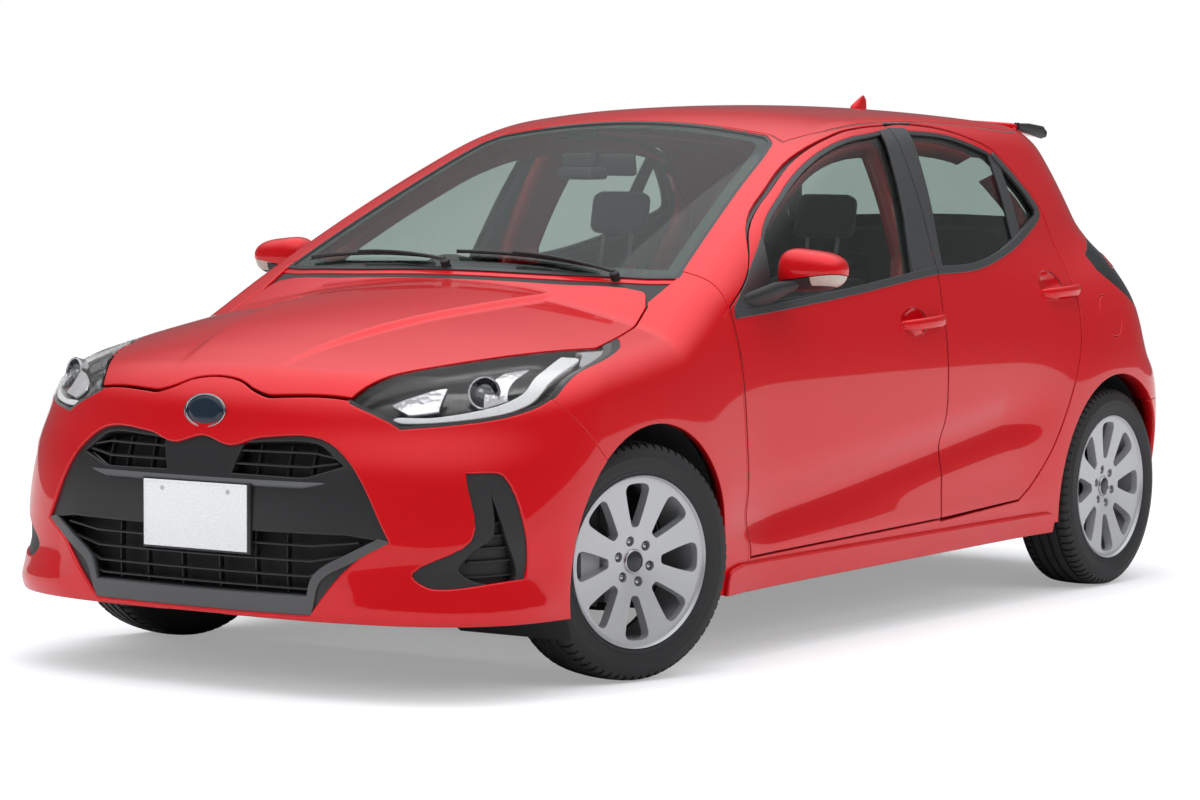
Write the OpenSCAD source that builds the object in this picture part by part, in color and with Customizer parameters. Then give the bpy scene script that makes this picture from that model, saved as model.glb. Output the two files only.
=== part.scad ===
/* [Body] */
// Length over the bumpers
body_length = 3940; // [3300:5:4750]
// Width over the doors, without the mirrors
body_width = 1695; // [1400:5:2050]
// Height of the roof above the ground
roof_height = 1462; // [1220:2:1760]
// Distance between the front and rear axles
wheelbase = 2550; // [2120:5:3060]
// Front bumper to front axle
front_overhang = 790; // [660:5:900]
// Thickness of a door from its skin to its trim
door_thickness = 65; // [50:1:80]
// Thickness of the bonnet, wings and bumper covers
cover_thickness = 22; // [14:1:30]
// Thickness of the roof with its lining
roof_thickness = 34; // [20:1:45]
// Depth of the pillars and side frames behind the skin
frame_depth = 112; // [95:1:135]
// Thickness of the window glass
glass_thickness = 5; // [4:0.5:7]
// Width of the gaps between doors, lids and the body
shut_gap = 5; // [4:0.5:7]

/* [Wheels] */
// Outside radius of the tyres
tyre_radius = 303; // [255:1:362]
// Width of the tyres
tyre_width = 185; // [155:5:222]
// Radius of the wheel rim's flange
rim_radius = 217; // [182:1:258]
// Distance the tyres sit inside the body side
wheel_inset = 15; // [5:1:40]
// Room between the tyre and the edge of its arch
arch_room = 44; // [36:1:60]
// Spokes in each wheel
spoke_count = 8; // [5:1:10]
// Angle the front wheels are turned to, towards the car's right
parked_steer = 16; // [0:1:25]
// Radius of the brake discs
disc_radius = 128; // [105:1:140]

/* [Cabin] */
// Width of each front seat
seat_width = 500; // [420:5:540]
// Thickness of the seat cushions
cushion_thickness = 130; // [100:5:160]
// Radius of the steering wheel's rim
steering_radius = 182; // [155:1:205]
// Side on which the driver sits: -1 is the car's right
driver_side = -1; // [-1, 1]

/* [Fittings] */
// Width of the number plate
plate_width = 330; // [330:5:520]
// Height of the number plate
plate_height = 165; // [110:5:165]
// Distance between the plate's two screw holes
plate_pitch = 210; // [150:5:250]
// Radius of the plate's screw holes
plate_hole_radius = 3.5; // [2.5:0.5:4]
// Radius of the door hinge pins
hinge_pin_radius = 5; // [4:0.5:6]

/* [Hidden] */
fit = 0.3;                      // running or resting clearance between two pieces

// The form is drawn for one base size, and these three functions carry every
// drawn place to the size that is asked for.
BASE_WIDTH = 1695;
BASE_ROOF = 1462;
BASE_AXLE_F = -1180;
BASE_AXLE_R = 1370;
BASE_NOSE = -1970;
BASE_TAIL = 1970;
axle_f = front_overhang - body_length / 2;
axle_r = axle_f + wheelbase;
function X(x) = x * body_width / BASE_WIDTH;
function Z(z) = z * roof_height / BASE_ROOF;
function Y(y) =
    y < BASE_AXLE_F ? axle_f + (y - BASE_AXLE_F) * front_overhang / (BASE_AXLE_F - BASE_NOSE) :
    y < BASE_AXLE_R ? axle_f + (y - BASE_AXLE_F) * wheelbase / (BASE_AXLE_R - BASE_AXLE_F) :
    axle_r + (y - BASE_AXLE_R) * (body_length / 2 - axle_r) / (BASE_TAIL - BASE_AXLE_R);
function YZ(points) = [for (p = points) [Y(p[0]), Z(p[1])]];
function XZ(points) = [for (p = points) [X(p[0]), Z(p[1])]];
function XY(points) = [for (p = points) [X(p[0]), Y(p[1])]];

track_half = body_width / 2 - wheel_inset - tyre_width / 2;
kingpin_x = track_half - 50;
red = "#c8102e";
black = "#1b1c1e";
grey = "#5a5d61";
silver = "#c9ccd1";
glass = "#6f7f7c";

// ---------------------------------------------------------------- body form
// Lines along the car, each a list of [place along the car, value].
nose_line = [[150, -1935], [230, -1960], [430, -1969], [560, -1958], [650, -1932], [730, -1912],
    [790, -1878], [900, -1796], [1100, -1616]];
tail_line = [[150, 1900], [250, 1945], [420, 1968], [560, 1970], [640, 1950], [700, 1905], [880, 1880],
    [980, 1842], [1060, 1792], [1340, 1670], [1450, 1610], [1500, 1580]];
corner_power = [[200, 3.1], [400, 2.6], [560, 2.4], [700, 2.2], [1000, 2.2]];
corner_length = [[200, 430], [400, 480], [560, 510], [700, 530], [1000, 540]];
waist_line = [[-2016, 822], [-1516, 826], [-716, 828], [584, 830], [1384, 836], [1984, 815]];
belt_line = [[-2016, 770], [-816, 775], [-316, 780], [284, 778], [784, 760], [1184, 728],
    [1484, 690], [1884, 630]];
shoulder_line = [[-2016, 80], [-1216, 62], [-716, 50], [284, 50], [884, 62], [1284, 78], [1984, 80]];
bonnet_line = [[-2016, 640], [-1946, 728], [-1893, 769], [-1766, 826], [-1616, 871], [-1416, 915],
    [-1176, 953], [-1001, 976], [-716, 1010]];
under_line = [[-1970, 193], [-1600, 190], [-825, 178], [980, 222], [1700, 235], [1970, 252]];

function soft_max(a, b, k) = let (h = max(k - abs(a - b), 0) / k) max(a, b) + h * h * k / 4;
function soft_min(a, b, k) = -soft_max(-a, -b, k);
function ease(a, b, v) = let (t = min(max((v - a) / (b - a), 0), 1)) t * t * (3 - 2 * t);
function bell(v, w) = exp(-pow(v / w, 2));

// Half width of the body side: a full waist, a hollow in the lower doors, a
// glasshouse that leans in, and a swelling round each wheel.
function side_half(y, z) =
    let (waist = lookup(y, waist_line) - 30 * pow(max(0, 660 - z) / 440, 2)
             - lookup(y, shoulder_line) * pow(max(0, z - 660) / 290, 2.3),
         doors = ease(-916, -516, y) * (1 - ease(684, 1034, y)),
         lower = waist - doors * (16 * bell(z - 470, 85) - 12 * bell(z - 300, 80)),
         over = max(z - 950, 0),
         upper = lookup(y, belt_line) - 0.22 * over - 0.0004 * over * over + 0.1 * min(z - 950, 0),
         ring_f = norm([y - BASE_AXLE_F, z - 303]) - 300,
         ring_r = norm([y - BASE_AXLE_R, z - 303]) - 300)
    soft_max(lower, upper, 40) + 20 * bell(ring_f, 190) + 18 * bell(ring_r, 200);

// Height of the bonnet, windscreen and roof over a place in plan.
function top_height(x, y) =
    let (hood = lookup(y, bonnet_line) - 0.00019 * x * x,
         w = y + 976,
         screen = 985 + 0.52 * w - 0.00007 * w * w - 0.00018 * x * x,
         roof = BASE_ROOF - 0.00006 * pow(y - 634, 2) - 0.00013 * x * x)
    soft_max(hood, soft_min(screen, roof, 60), 8);

// Negative inside the body, zero on its skin.
function skin_at(x, y, z) =
    let (half = side_half(y, z), a = abs(x) / half)
    let (rounded = y < 0
            ? let (m = lookup(z, corner_power), b = lookup(z, corner_length),
                   t = max(0, (lookup(z, nose_line) + b - y) / b))
                pow(pow(a, m) + pow(t, m), 1 / m)
            : let (t = max(0, (y - lookup(z, tail_line) + 430) / 430))
                pow(pow(a, 2.6) + pow(t, 2.6), 1 / 2.6))
    soft_max((rounded - 1) * half, z - top_height(x, y), 70);

function reach(y, mid, c, s, inset, lo, hi, n) =
    n == 0 ? lo :
    let (r = (lo + hi) / 2, x = r * c, z = mid + r * s,
         out = max(skin_at(x, y, z) + inset, lookup(y, under_line) - z - 2 * inset))
    out < 0 ? reach(y, mid, c, s, inset, r, hi, n - 1) : reach(y, mid, c, s, inset, lo, r, n - 1);

middle_line = [[-1970, 430], [-1900, 480], [-1700, 560], [-1300, 620], [1500, 650], [1800, 600], [1970, 520]];
// Rays and stations of the outer skin, and of the plainer faces deep inside it.
skin_angles = concat([-90, -60, -38], [for (a = [-29:5:21]) a], [for (a = [27:7:83]) a], [90]);
deep_angles = concat([-90, -60, -38], [for (a = [-28:8:20]) a], [for (a = [30:12:78]) a], [90]);
skin_stations = 36;
deep_stations = 24;
deep_from = 30;

function ring(y, inset) =
    let (mid = lookup(y, middle_line),
         half = [for (a = inset < deep_from ? skin_angles : deep_angles)
             let (c = cos(a), s = sin(a), r = reach(y, mid, c, s, inset, 0, 1150, 13))
             [X(r * c), Y(y), Z(mid + r * s)]],
         n = len(half))
    concat([[0, half[0][1], half[0][2]]], [for (i = [1:n - 2]) half[i]], [[0, half[n - 1][1], half[n - 1][2]]],
        [for (i = [n - 2:-1:1]) [-half[i][0], half[i][1], half[i][2]]]);

// The whole body as one closed solid, set in from the skin by a distance.
module body_form(inset) {
    first = BASE_NOSE + 4 + 0.62 * inset;
    last = BASE_TAIL - 3 - 0.55 * inset;
    station_count = inset < deep_from ? skin_stations : deep_stations;
    rings = [for (i = [0:station_count])
        ring(first + (last - first) * (1 - cos(180 * i / station_count)) / 2, inset)];
    n = len(rings[0]);
    sides = [for (i = [0:station_count - 1]) for (j = [0:n - 1])
        let (k = (j + 1) % n, a = i * n, b = (i + 1) * n)
        each j < n / 2 ? [[a + j, a + k, b + k], [a + j, b + k, b + j]] :
            [[a + j, a + k, b + j], [a + k, b + k, b + j]]];
    caps = [[for (j = [n - 1:-1:0]) j], [for (j = [0:n - 1]) station_count * n + j]];
    polyhedron([for (r = rings) each r], concat(sides, caps), convexity = 12);
}

// A layer of the body between two depths under the skin, as one triangulated
// mesh: a resize by nothing keeps the size of what it holds.
module layer(outer, inner) {
    difference() {
        body_form(outer);
        body_form(inner);
    }
}
module meshed() resize([0, 0, 0]) children();

// Extrusions of outlines drawn in the side, front and plan views.
module from_side(points, x0, x1)
    translate([x0, 0, 0]) rotate([90, 0, 90]) linear_extrude(x1 - x0) polygon(YZ(points));
module from_side_grown(points, by, x0, x1)
    translate([x0, 0, 0]) rotate([90, 0, 90]) linear_extrude(x1 - x0) offset(delta = by) polygon(YZ(points));
module from_front(points, y0, y1)
    translate([0, Y(y1), 0]) rotate([90, 0, 0]) linear_extrude(Y(y1) - Y(y0)) polygon(XZ(points));
module from_front_grown(points, by, y0, y1)
    translate([0, Y(y1), 0]) rotate([90, 0, 0]) linear_extrude(Y(y1) - Y(y0)) offset(delta = by)
        polygon(XZ(points));
module from_top(points, z0, z1)
    translate([0, 0, Z(z0)]) linear_extrude(Z(z1) - Z(z0)) polygon(XY(points));
module from_top_grown(points, by, z0, z1)
    translate([0, 0, Z(z0)]) linear_extrude(Z(z1) - Z(z0)) offset(delta = by) polygon(XY(points));
module both_sides() {
    children();
    mirror([1, 0, 0]) children();
}
module on_side(side) {
    if (side > 0) children();
    else mirror([1, 0, 0]) children();
}
function mirrored(points) = concat(points, [for (i = [len(points) - 1:-1:0]) [-points[i][0], points[i][1]]]);
FAR = 1300;                     // beyond the body on every side

// ------------------------------------------------------------ panel outlines
front_door_edge = [[-690, 268], [-736, 630], [-748, 822], [-756, 925], [-640, 1010], [-515, 1140],
    [-312, 1243], [-85, 1340], [115, 1388], [405, 1412], [410, 1392], [362, 960], [346, 800],
    [338, 600], [322, 288]];
rear_door_edge = [[322, 288], [338, 600], [346, 800], [362, 960], [410, 1392], [412, 1412], [500, 1417], [718, 1403],
    [900, 1368], [1008, 1333], [1118, 1240], [1190, 1160], [1196, 1120], [1205, 1000], [1200, 930],
    [1165, 813], [1115, 692], [1040, 562], [958, 443], [860, 350], [780, 306]];
front_window = [[-560, 1030], [-560, 918], [-145, 954], [222, 985], [352, 1384], [340, 1386],
    [119, 1362], [-77, 1314], [-300, 1220], [-501, 1120]];
rear_window = [[402, 996], [603, 1002], [825, 1040], [1149, 1138], [1152, 1157], [1091, 1225],
    [988, 1311], [886, 1344], [714, 1377], [500, 1390]];
bonnet_edge = [[0, -1894], [150, -1893], [399, -1850], [531, -1627], [709, -1254], [706, -1232],
    [648, -938], [600, -885], [350, -940], [0, -970]];
screen_edge = [[0, -915], [300, -895], [560, -830], [651, -790], [500, -90], [455, -40], [0, -22]];
roof_edge = [[0, -14], [460, -30], [516, -84], [566, 90], [558, 420], [552, 800], [540, 1200], [520, 1318],
    [0, 1318]];
lamp_edge = [[399, 722], [396, 745], [531, 838], [705, 868], [712, 850], [765, 812], [790, 728], [530, 668],
    [501, 680]];
scuttle_slot = [[0, -990], [350, -960], [600, -900], [645, -880], [655, -785], [0, -900]];
grille_edge = [[0, 630], [345, 634], [400, 618], [545, 392], [340, 206], [0, 204]];
fog_edge = [[690, 560], [752, 552], [790, 420], [785, 300], [650, 283], [600, 320], [715, 400]];
tailgate_edge = [[0, 560], [430, 560], [560, 640], [640, 860], [600, 1060], [540, 1300], [505, 1440], [0, 1470]];
tail_window = [[0, 1085], [470, 1075], [500, 1110], [455, 1330], [0, 1350]];
tail_lamp_edge = [[1400, 1010], [1420, 960], [1600, 850], [1960, 850], [1960, 1000], [1720, 1000], [1560, 1060]];
flap_centre = [1370, 826];
flap_radius = 62;
flap_thickness = 14;

door_front_axis = [818, -698];
door_rear_axis = [812, 376];
hinge_heights = [480, 770];
hinge_room = 88;                // sweep of a door's inner front corner
shoulder_room = 112;            // the same above the shoulder, where the skin leans in
door_cut_from = 410;            // further in there is only the roof's cross rail
door_leaf_from = 500;           // the doors end further out than the roof's cross rails
lip_thickness = 14;
swing_room = 17;                // between a door's leaning frame and the opening behind its lip
lamp_gap = 0.8;
hatch_fit = 0.8;

module arch_cuts(grow) {
    both_sides() for (y = [axle_f, axle_r])
        translate([y == axle_f ? X(440) : X(560), y, tyre_radius]) rotate([0, 90, 0])
            cylinder(r = tyre_radius + arch_room + grow, h = FAR, $fn = 64);
}

// ------------------------------------------------------------------- panels
nose_zone = [[-2100, 100], [-2100, 900], [-1894, 800], [-1562, 735], [-1400, 575], [-1300, 300], [-1300, 100]];
wing_zone = [[-2100, 1100], [-2100, 900], [-1894, 800], [-1562, 735], [-1400, 575], [-1300, 300], [-1300, 100],
    [-760, 100], [-698, 268], [-744, 630], [-756, 822], [-764, 925], [-764, 1100]];
hatch_zone = [[1330, 1600], [1335, 1440], [1530, 1300], [1620, 1060], [1660, 860], [1700, 540], [2100, 540],
    [2100, 1600]];
rear_zone = [[1560, 100], [1560, 560], [2100, 560], [2100, 100]];
sill_height = 262;

module bonnet() color(red) meshed() intersection() {
    layer(0, cover_thickness);
    from_top(mirrored(bonnet_edge), 600, 1100);
}

module front_wings() color(red) meshed() both_sides() difference() {
    intersection() {
        layer(0, cover_thickness);
        from_side_grown(wing_zone, -fit, X(300), FAR);
    }
    from_top_grown(mirrored(bonnet_edge), shut_gap, 500, 1200);
    from_top_grown(mirrored(screen_edge), shut_gap, 500, 1200);
    from_top(mirrored(scuttle_slot), 500, 1200);
    from_front_grown(lamp_edge, lamp_gap, -2000, -1100);
    arch_cuts(0);
}

module front_bumper() color(red) meshed() difference() {
    intersection() {
        layer(0, cover_thickness);
        from_side(nose_zone, -FAR, FAR);
    }
    from_top_grown(mirrored(bonnet_edge), shut_gap, 500, 1200);
    both_sides() from_front_grown(lamp_edge, lamp_gap, -2000, -1100);
    from_front_grown(mirrored(grille_edge), fit, -2100, -1500);
    both_sides() from_front_grown(fog_edge, fit, -2100, -1400);
    arch_cuts(0);
}

// Plan of the nose at grille height: a flattened oval, set back by a distance.
function nose_plan(x, back) = -1964 + back + 480 * (1 - pow(1 - pow(abs(x) / 830, 2.6), 1 / 2.6));
module nose_band(front, back) translate([0, 0, Z(100)]) linear_extrude(Z(700)) polygon(XY(concat(
    [for (x = [-560:80:560]) [x, nose_plan(x, front)]], [for (x = [560:-80:-560]) [x, nose_plan(x, back)]])));
module bar(z, h, half) from_front([[-half, z], [half, z], [half, z + h], [-half, z + h]], -2100, -1500);
module grille() color(black) intersection() {
    nose_band(8, 40);
    from_front(mirrored(grille_edge), -2100, -1500);
    union() {
        difference() {
            bar(150, 600, 700);
            from_front([[-380, 616], [-508, 392], [-330, 232], [330, 232], [508, 392], [380, 616]], -2200, -1400);
        }
        for (z = [262, 294, 326, 552, 582]) bar(z, 9, 600);
        bar(356, 176, 600);
        from_front([[-90, 530], [90, 530], [150, 640], [-150, 640]], -2100, -1500);
    }
}

plate_y = Y(-1956) - fit;
module number_plate() color("white") difference() {
    translate([-plate_width / 2, plate_y - 10, Z(434) - plate_height / 2])
        cube([plate_width, 10, plate_height]);
    for (s = [-1, 1]) translate([s * plate_pitch / 2, plate_y - 20, Z(434) + plate_height / 2 - 20])
        rotate([-90, 0, 0]) cylinder(r = plate_hole_radius, h = 40, $fn = 32);
}

module headlamps() color("#d9dde0") meshed() both_sides() difference() {
    intersection() {
        layer(2, 85);
        from_front(lamp_edge, -2000, -1200);
    }
    from_top_grown(mirrored(bonnet_edge), shut_gap, 0, 1200);
    arch_cuts(6);
}

module fog_trims() color(black) meshed() both_sides() difference() {
    intersection() {
        layer(4, 60);
        from_front(fog_edge, -2100, -1450);
    }
    intersection() {
        body_form(-5);
        difference() {
            from_front_grown(fog_edge, -16, -2200, -1400);
            body_form(45);
        }
    }
    arch_cuts(6);
}

module radiator() color(grey) translate([X(-330), Y(-1830) + 40 + fit, Z(225)]) cube([X(660), 60, Z(400)]);

module engine() color(grey) translate([fit - X(350), Y(-1640), Z(270)])
    cube([2 * X(350) - 2 * fit, Y(-1240) - Y(-1640), Z(480)]);

module windscreen() color(glass) meshed() intersection() {
    layer(3, 3 + glass_thickness);
    from_top(mirrored(screen_edge), 900, 1500);
}

// Black tray below the windscreen, where the wipers stand; its rear edge carries the glass.
module scuttle() color(black) meshed() difference() {
    intersection() {
        layer(3 + glass_thickness + fit, 60);
        from_top(mirrored([[0, -1020], [560, -980], [600, -880], [590, -812], [300, -860], [0, -880]]), 800, 1200);
    }
    difference() {
        from_top_grown(mirrored(bonnet_edge), shut_gap, 800, 1200);
        body_form(cover_thickness + fit);
    }
}

// Ahead of the hinge axis and above the shoulder the front door is only a thin flange, so that it can swing.
thin_corner = [[-800, 870], [-565, 870], [-565, 1070], [-800, 1070]];
corner_thickness = 26;
module door(edge, window, axis, heights) meshed() difference() {
    union() {
        difference() {
            intersection() {
                layer(0, door_thickness);
                from_side_grown(edge, -shut_gap / 2, X(door_leaf_from), FAR);
            }
            from_side(window, 0, FAR);
            from_top_grown(mirrored(roof_edge), shut_gap, 1200, 1500);
            from_top_grown(mirrored(screen_edge), shut_gap, 900, 1500);
            intersection() {
                from_side(thin_corner, 0, FAR);
                body_form(corner_thickness);
            }
            for (h = heights) translate([X(axis[0]) - 90, Y(axis[1]) - 90, Z(h) - 36])
                cube([90 + hinge_pin_radius + 4, 90 + 16, 72]);
        }
        for (h = heights) translate([X(axis[0]), Y(axis[1]), Z(h) - 14]) {
            cylinder(r = hinge_pin_radius + 4, h = 28, $fn = 32);
            translate([-6, 0, 0]) cube([12, 18, 28]);
        }
    }
    for (h = heights) translate([X(axis[0]), Y(axis[1]), Z(h) - 40])
        cylinder(r = hinge_pin_radius + fit, h = 80, $fn = 32);
}

// The front door's rear edge, as [place, height]. Everything it carries stays nearer to the hinge axis than the
// rear door's front edge, or the leaning window frame would meet that door as it swings out.
front_door_rear_edge = [[322, 288], [338, 600], [346, 800], [362, 960], [386, 1180], [405, 1400]];
module front_door_sweep() translate([X(door_front_axis[0]), Y(door_front_axis[1]), 0]) rotate_extrude($fn = 180)
    polygon(concat([[0, 0]], [for (p = concat([[322, 0]], front_door_rear_edge, [[405, 1500]]))
        let (z = min(max(p[1], 288), 1400), out = X(reach(p[0], z, 1, 0, 0, 0, 1150, 13) - door_front_axis[0]))
        [norm([out, Y(p[0]) - Y(door_front_axis[1])]) - shut_gap / 2, Z(p[1])]], [[0, Z(1500)]]));
module front_door(side) color(red) on_side(side) meshed() intersection() {
    door(front_door_edge, front_window, door_front_axis, hinge_heights);
    front_door_sweep();
}
// Behind its thin outer lip the rear door is narrower at the back, for its leaning frame to swing past the body.
module rear_door(side) color(red) on_side(side) meshed() difference() {
    door(rear_door_edge, rear_window, door_rear_axis, hinge_heights);
    intersection() {
        body_form(lip_thickness);
        difference() {
            translate([0, Y(900), 0]) cube([FAR, FAR, 2 * FAR]);
            from_side_grown(rear_door_edge, -swing_room, -1, FAR);
        }
    }
}
module front_door_left() front_door(1);
module front_door_right() front_door(-1);
module rear_door_left() rear_door(1);
module rear_door_right() rear_door(-1);

module door_glass(side, window) color(glass) meshed() on_side(side) difference() {
    intersection() {
        layer(6, 6 + glass_thickness);
        from_side_grown(window, -fit, X(350), FAR);
    }
    from_top_grown(mirrored(roof_edge), shut_gap, 1200, 1500);
}
module front_glass_left() door_glass(1, front_window);
module front_glass_right() door_glass(-1, front_window);
module rear_glass_left() door_glass(1, rear_window);
module rear_glass_right() door_glass(-1, rear_window);

// Forks on the pillars, each with a pin through the eye of its door.
module door_hinges() color(grey) both_sides() for (axis = [door_front_axis, door_rear_axis]) for (h = hinge_heights)
    translate([X(axis[0]), Y(axis[1]), Z(h)]) union() {
        translate([0, 0, -30]) cylinder(r = hinge_pin_radius, h = 60, $fn = 32);
        for (z = [-30, 14.5]) translate([1 - hinge_room, -8, z]) cube([hinge_room - 1, 16, 15.5]);
        translate([1 - hinge_room, -8, -30]) cube([12, 16, 60]);
    }

module mirror_body(side) color(red) meshed() on_side(side) difference() {
    union() {
        hull() {
            translate([X(862), Y(-455), Z(1042)]) scale([1, 0.5, 0.62]) sphere(r = 62, $fn = 20);
            translate([X(938), Y(-432), Z(1036)]) scale([1, 0.7, 0.7]) sphere(r = 52, $fn = 20);
        }
        hull() {
            translate([X(740), Y(-648), Z(925)]) cube([20, 80, 50]);
            translate([X(850), Y(-480), Z(990)]) cube([40, 40, 14]);
        }
    }
    body_form(-fit);
}
module mirror_left() mirror_body(1);
module mirror_right() mirror_body(-1);

module hatch_cut(across, along) intersection() {
    from_front_grown(mirrored(tailgate_edge), across, 1200, 2100);
    from_side_grown(hatch_zone, along, -FAR, FAR);
}
module body_sides() color(red) meshed() both_sides() difference() {
    intersection() {
        union() {
            layer(0, frame_depth);
            intersection() {
                layer(0, frame_depth + 40);
                from_side([[-790, 100], [-790, sill_height], [1100, sill_height], [1100, 100]], X(600), FAR);
            }
        }
        from_side([[-790, 100], [-790, 1100], [-600, 1250], [-312, 1400], [-60, 1500], [1700, 1500],
            [1990, 900], [1990, 560], [1720, 560], [1720, 100]], 0, FAR);
    }
    difference() {
        from_side_grown(wing_zone, fit, X(300), FAR);
        body_form(cover_thickness + fit);
    }
    from_side([[-2000, 0], [-2000, sill_height], [1200, sill_height], [1200, 0]], 0, sill_x + fit);
    difference() {
        from_top_grown(mirrored(screen_edge), fit, 900, 1500);
        body_form(3 + glass_thickness + fit);
    }
    from_top_grown(mirrored(screen_edge), -30, 900, 1500);
    difference() {
        from_top_grown(mirrored(roof_edge), fit, 1200, 1500);
        body_form(roof_thickness + fit);
    }
    from_top_grown(mirrored(roof_edge), -40, 1200, 1500);
    difference() {
        hatch_cut(shut_gap, shut_gap);
        body_form(door_thickness + hatch_fit);
    }
    hatch_cut(-26, 60);
    for (edge = [front_door_edge, rear_door_edge]) {
        difference() {
            from_side_grown(edge, shut_gap / 2, door_cut_from, FAR);
            body_form(door_thickness + fit);
        }
        from_side_grown(edge, -26, door_cut_from, FAR);
    }
    for (axis = [door_front_axis, door_rear_axis]) translate([X(axis[0]), Y(axis[1]), 0]) {
        translate([0, 0, Z(265)]) cylinder(r = hinge_room, h = Z(600), $fn = 40);
        translate([0, 0, Z(790)]) cylinder(r = shoulder_room, h = Z(210), $fn = 40);
    }
    arch_cuts(0);
    from_side(tail_lamp_edge, X(520), FAR);
    difference() {
        translate([0, Y(flap_centre[0]), Z(flap_centre[1])]) rotate([0, 90, 0])
            cylinder(r = flap_radius + 2, h = FAR, $fn = 32);
        body_form(flap_thickness + fit);
    }
    from_side(rear_zone, 0, FAR);
}

module roof_panel() color(red) meshed() intersection() {
    layer(0, roof_thickness);
    from_top(mirrored(roof_edge), 1200, 1500);
}

module tailgate() color(red) meshed() difference() {
    intersection() {
        layer(0, door_thickness);
        from_front(mirrored(tailgate_edge), 1330, 2100);
        from_side(hatch_zone, -FAR, FAR);
    }
    from_front(mirrored(tail_window), 1330, 2100);
    both_sides() from_side_grown(tail_lamp_edge, 3, X(520), FAR);
}
module tailgate_glass() color(glass) meshed() intersection() {
    layer(5, 5 + glass_thickness);
    from_front_grown(mirrored(tail_window), -fit, 1330, 2100);
}
module spoiler() color(red) meshed() difference() {
    hull() {
        translate([X(-480), Y(1610), Z(1378)]) cube([X(960), 30, 16]);
        translate([X(-470), Y(1400), Z(1380)]) cube([X(940), 20, 50]);
    }
    body_form(-fit);
}

module rear_bumper() color(red) meshed() difference() {
    intersection() {
        layer(0, cover_thickness);
        from_side_grown(rear_zone, -fit, -FAR, FAR);
    }
    arch_cuts(0);
}

module tail_lamps() color("#8a0f1c") meshed() both_sides() difference() {
    intersection() {
        layer(1, 50);
        from_side_grown(tail_lamp_edge, -fit, X(523), FAR);
    }
    hatch_cut(shut_gap, shut_gap);
}

module fuel_flap() color(red) meshed() intersection() {
    layer(0, flap_thickness);
    translate([0, Y(flap_centre[0]), Z(flap_centre[1])]) rotate([0, 90, 0])
        cylinder(r = flap_radius, h = FAR, $fn = 32);
}

module roof_antenna() color(red) meshed() difference() {
    translate([0, Y(1245), roof_height - 34]) hull() {
        translate([-18, -34, 0]) cube([36, 70, 10]);
        translate([-3, 18, 44]) cube([6, 14, 21]);
    }
    body_form(-fit);
}

// ------------------------------------------------------------------- wheels
module wheel_place(side, y, steered) {
    turn = steered ? -parked_steer : 0;
    translate([side * kingpin_x, y, tyre_radius]) rotate([0, 0, turn])
        translate([side * (track_half - kingpin_x), 0, 0]) rotate([0, side * 90, 0]) children();
}
bead = rim_radius - 8;
module tyre_shape() color(black) rotate_extrude($fn = 96) polygon([
    [bead, -tyre_width / 2 + 14], [rim_radius + 2, -tyre_width / 2 + 5], [tyre_radius - 42, -tyre_width / 2],
    [tyre_radius - 14, -tyre_width / 2 + 8], [tyre_radius - 4, -tyre_width / 2 + 26], [tyre_radius, -tyre_width / 2 + 46],
    [tyre_radius, tyre_width / 2 - 46], [tyre_radius - 4, tyre_width / 2 - 26], [tyre_radius - 14, tyre_width / 2 - 8],
    [tyre_radius - 42, tyre_width / 2], [rim_radius + 2, tyre_width / 2 - 5], [bead, tyre_width / 2 - 14]]);

hub_face = 52;                  // mounting face of the wheel, out from its middle
module rim_shape() color(silver) union() {
    rotate_extrude($fn = 96) polygon([
        [bead - fit, -tyre_width / 2 + 12], [bead - fit, tyre_width / 2 - 12], [bead - 8, tyre_width / 2 - 8],
        [bead - 14, tyre_width / 2 - 14], [bead - 14, -tyre_width / 2 + 12]]);
    translate([0, 0, hub_face - 4]) cylinder(r = 72, h = 26, $fn = 64);
    for (k = [0:spoke_count - 1]) rotate([0, 0, (k + 0.5) * 360 / spoke_count]) translate([55, 0, hub_face])
        rotate([90, 0, 0]) translate([0, 0, -17]) linear_extrude(34)
            polygon([[0, 2], [bead - 66, 6], [bead - 66, 24], [0, 18]]);
    translate([0, 0, 8]) cylinder(r = disc_radius, h = 22, $fn = 64);
    translate([0, 0, 29]) cylinder(r = 70, h = hub_face - 32, $fn = 48);
}
module tyre_front_left() wheel_place(1, axle_f, true) tyre_shape();
module tyre_front_right() wheel_place(-1, axle_f, true) tyre_shape();
module tyre_rear_left() wheel_place(1, axle_r, false) tyre_shape();
module tyre_rear_right() wheel_place(-1, axle_r, false) tyre_shape();
module wheel_front_left() wheel_place(1, axle_f, true) rim_shape();
module wheel_front_right() wheel_place(-1, axle_f, true) rim_shape();
module wheel_rear_left() wheel_place(1, axle_r, false) rim_shape();
module wheel_rear_right() wheel_place(-1, axle_r, false) rim_shape();

disc_inner = 8;                 // inner face of the disc, out from the wheel's middle
kingpin_offset = track_half - kingpin_x;
kingpin_radius = 9;
strut_radius = 26;
strut_offset = 128;             // strut centre, inboard of the kingpin

// A frame on the kingpin at axle height, turned with the wheel, +X outward.
module kingpin_place(side, turned) translate([side * kingpin_x, axle_f, tyre_radius])
    rotate([0, 0, turned ? -parked_steer : 0]) mirror([side < 0 ? 1 : 0, 0, 0]) children();

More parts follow.
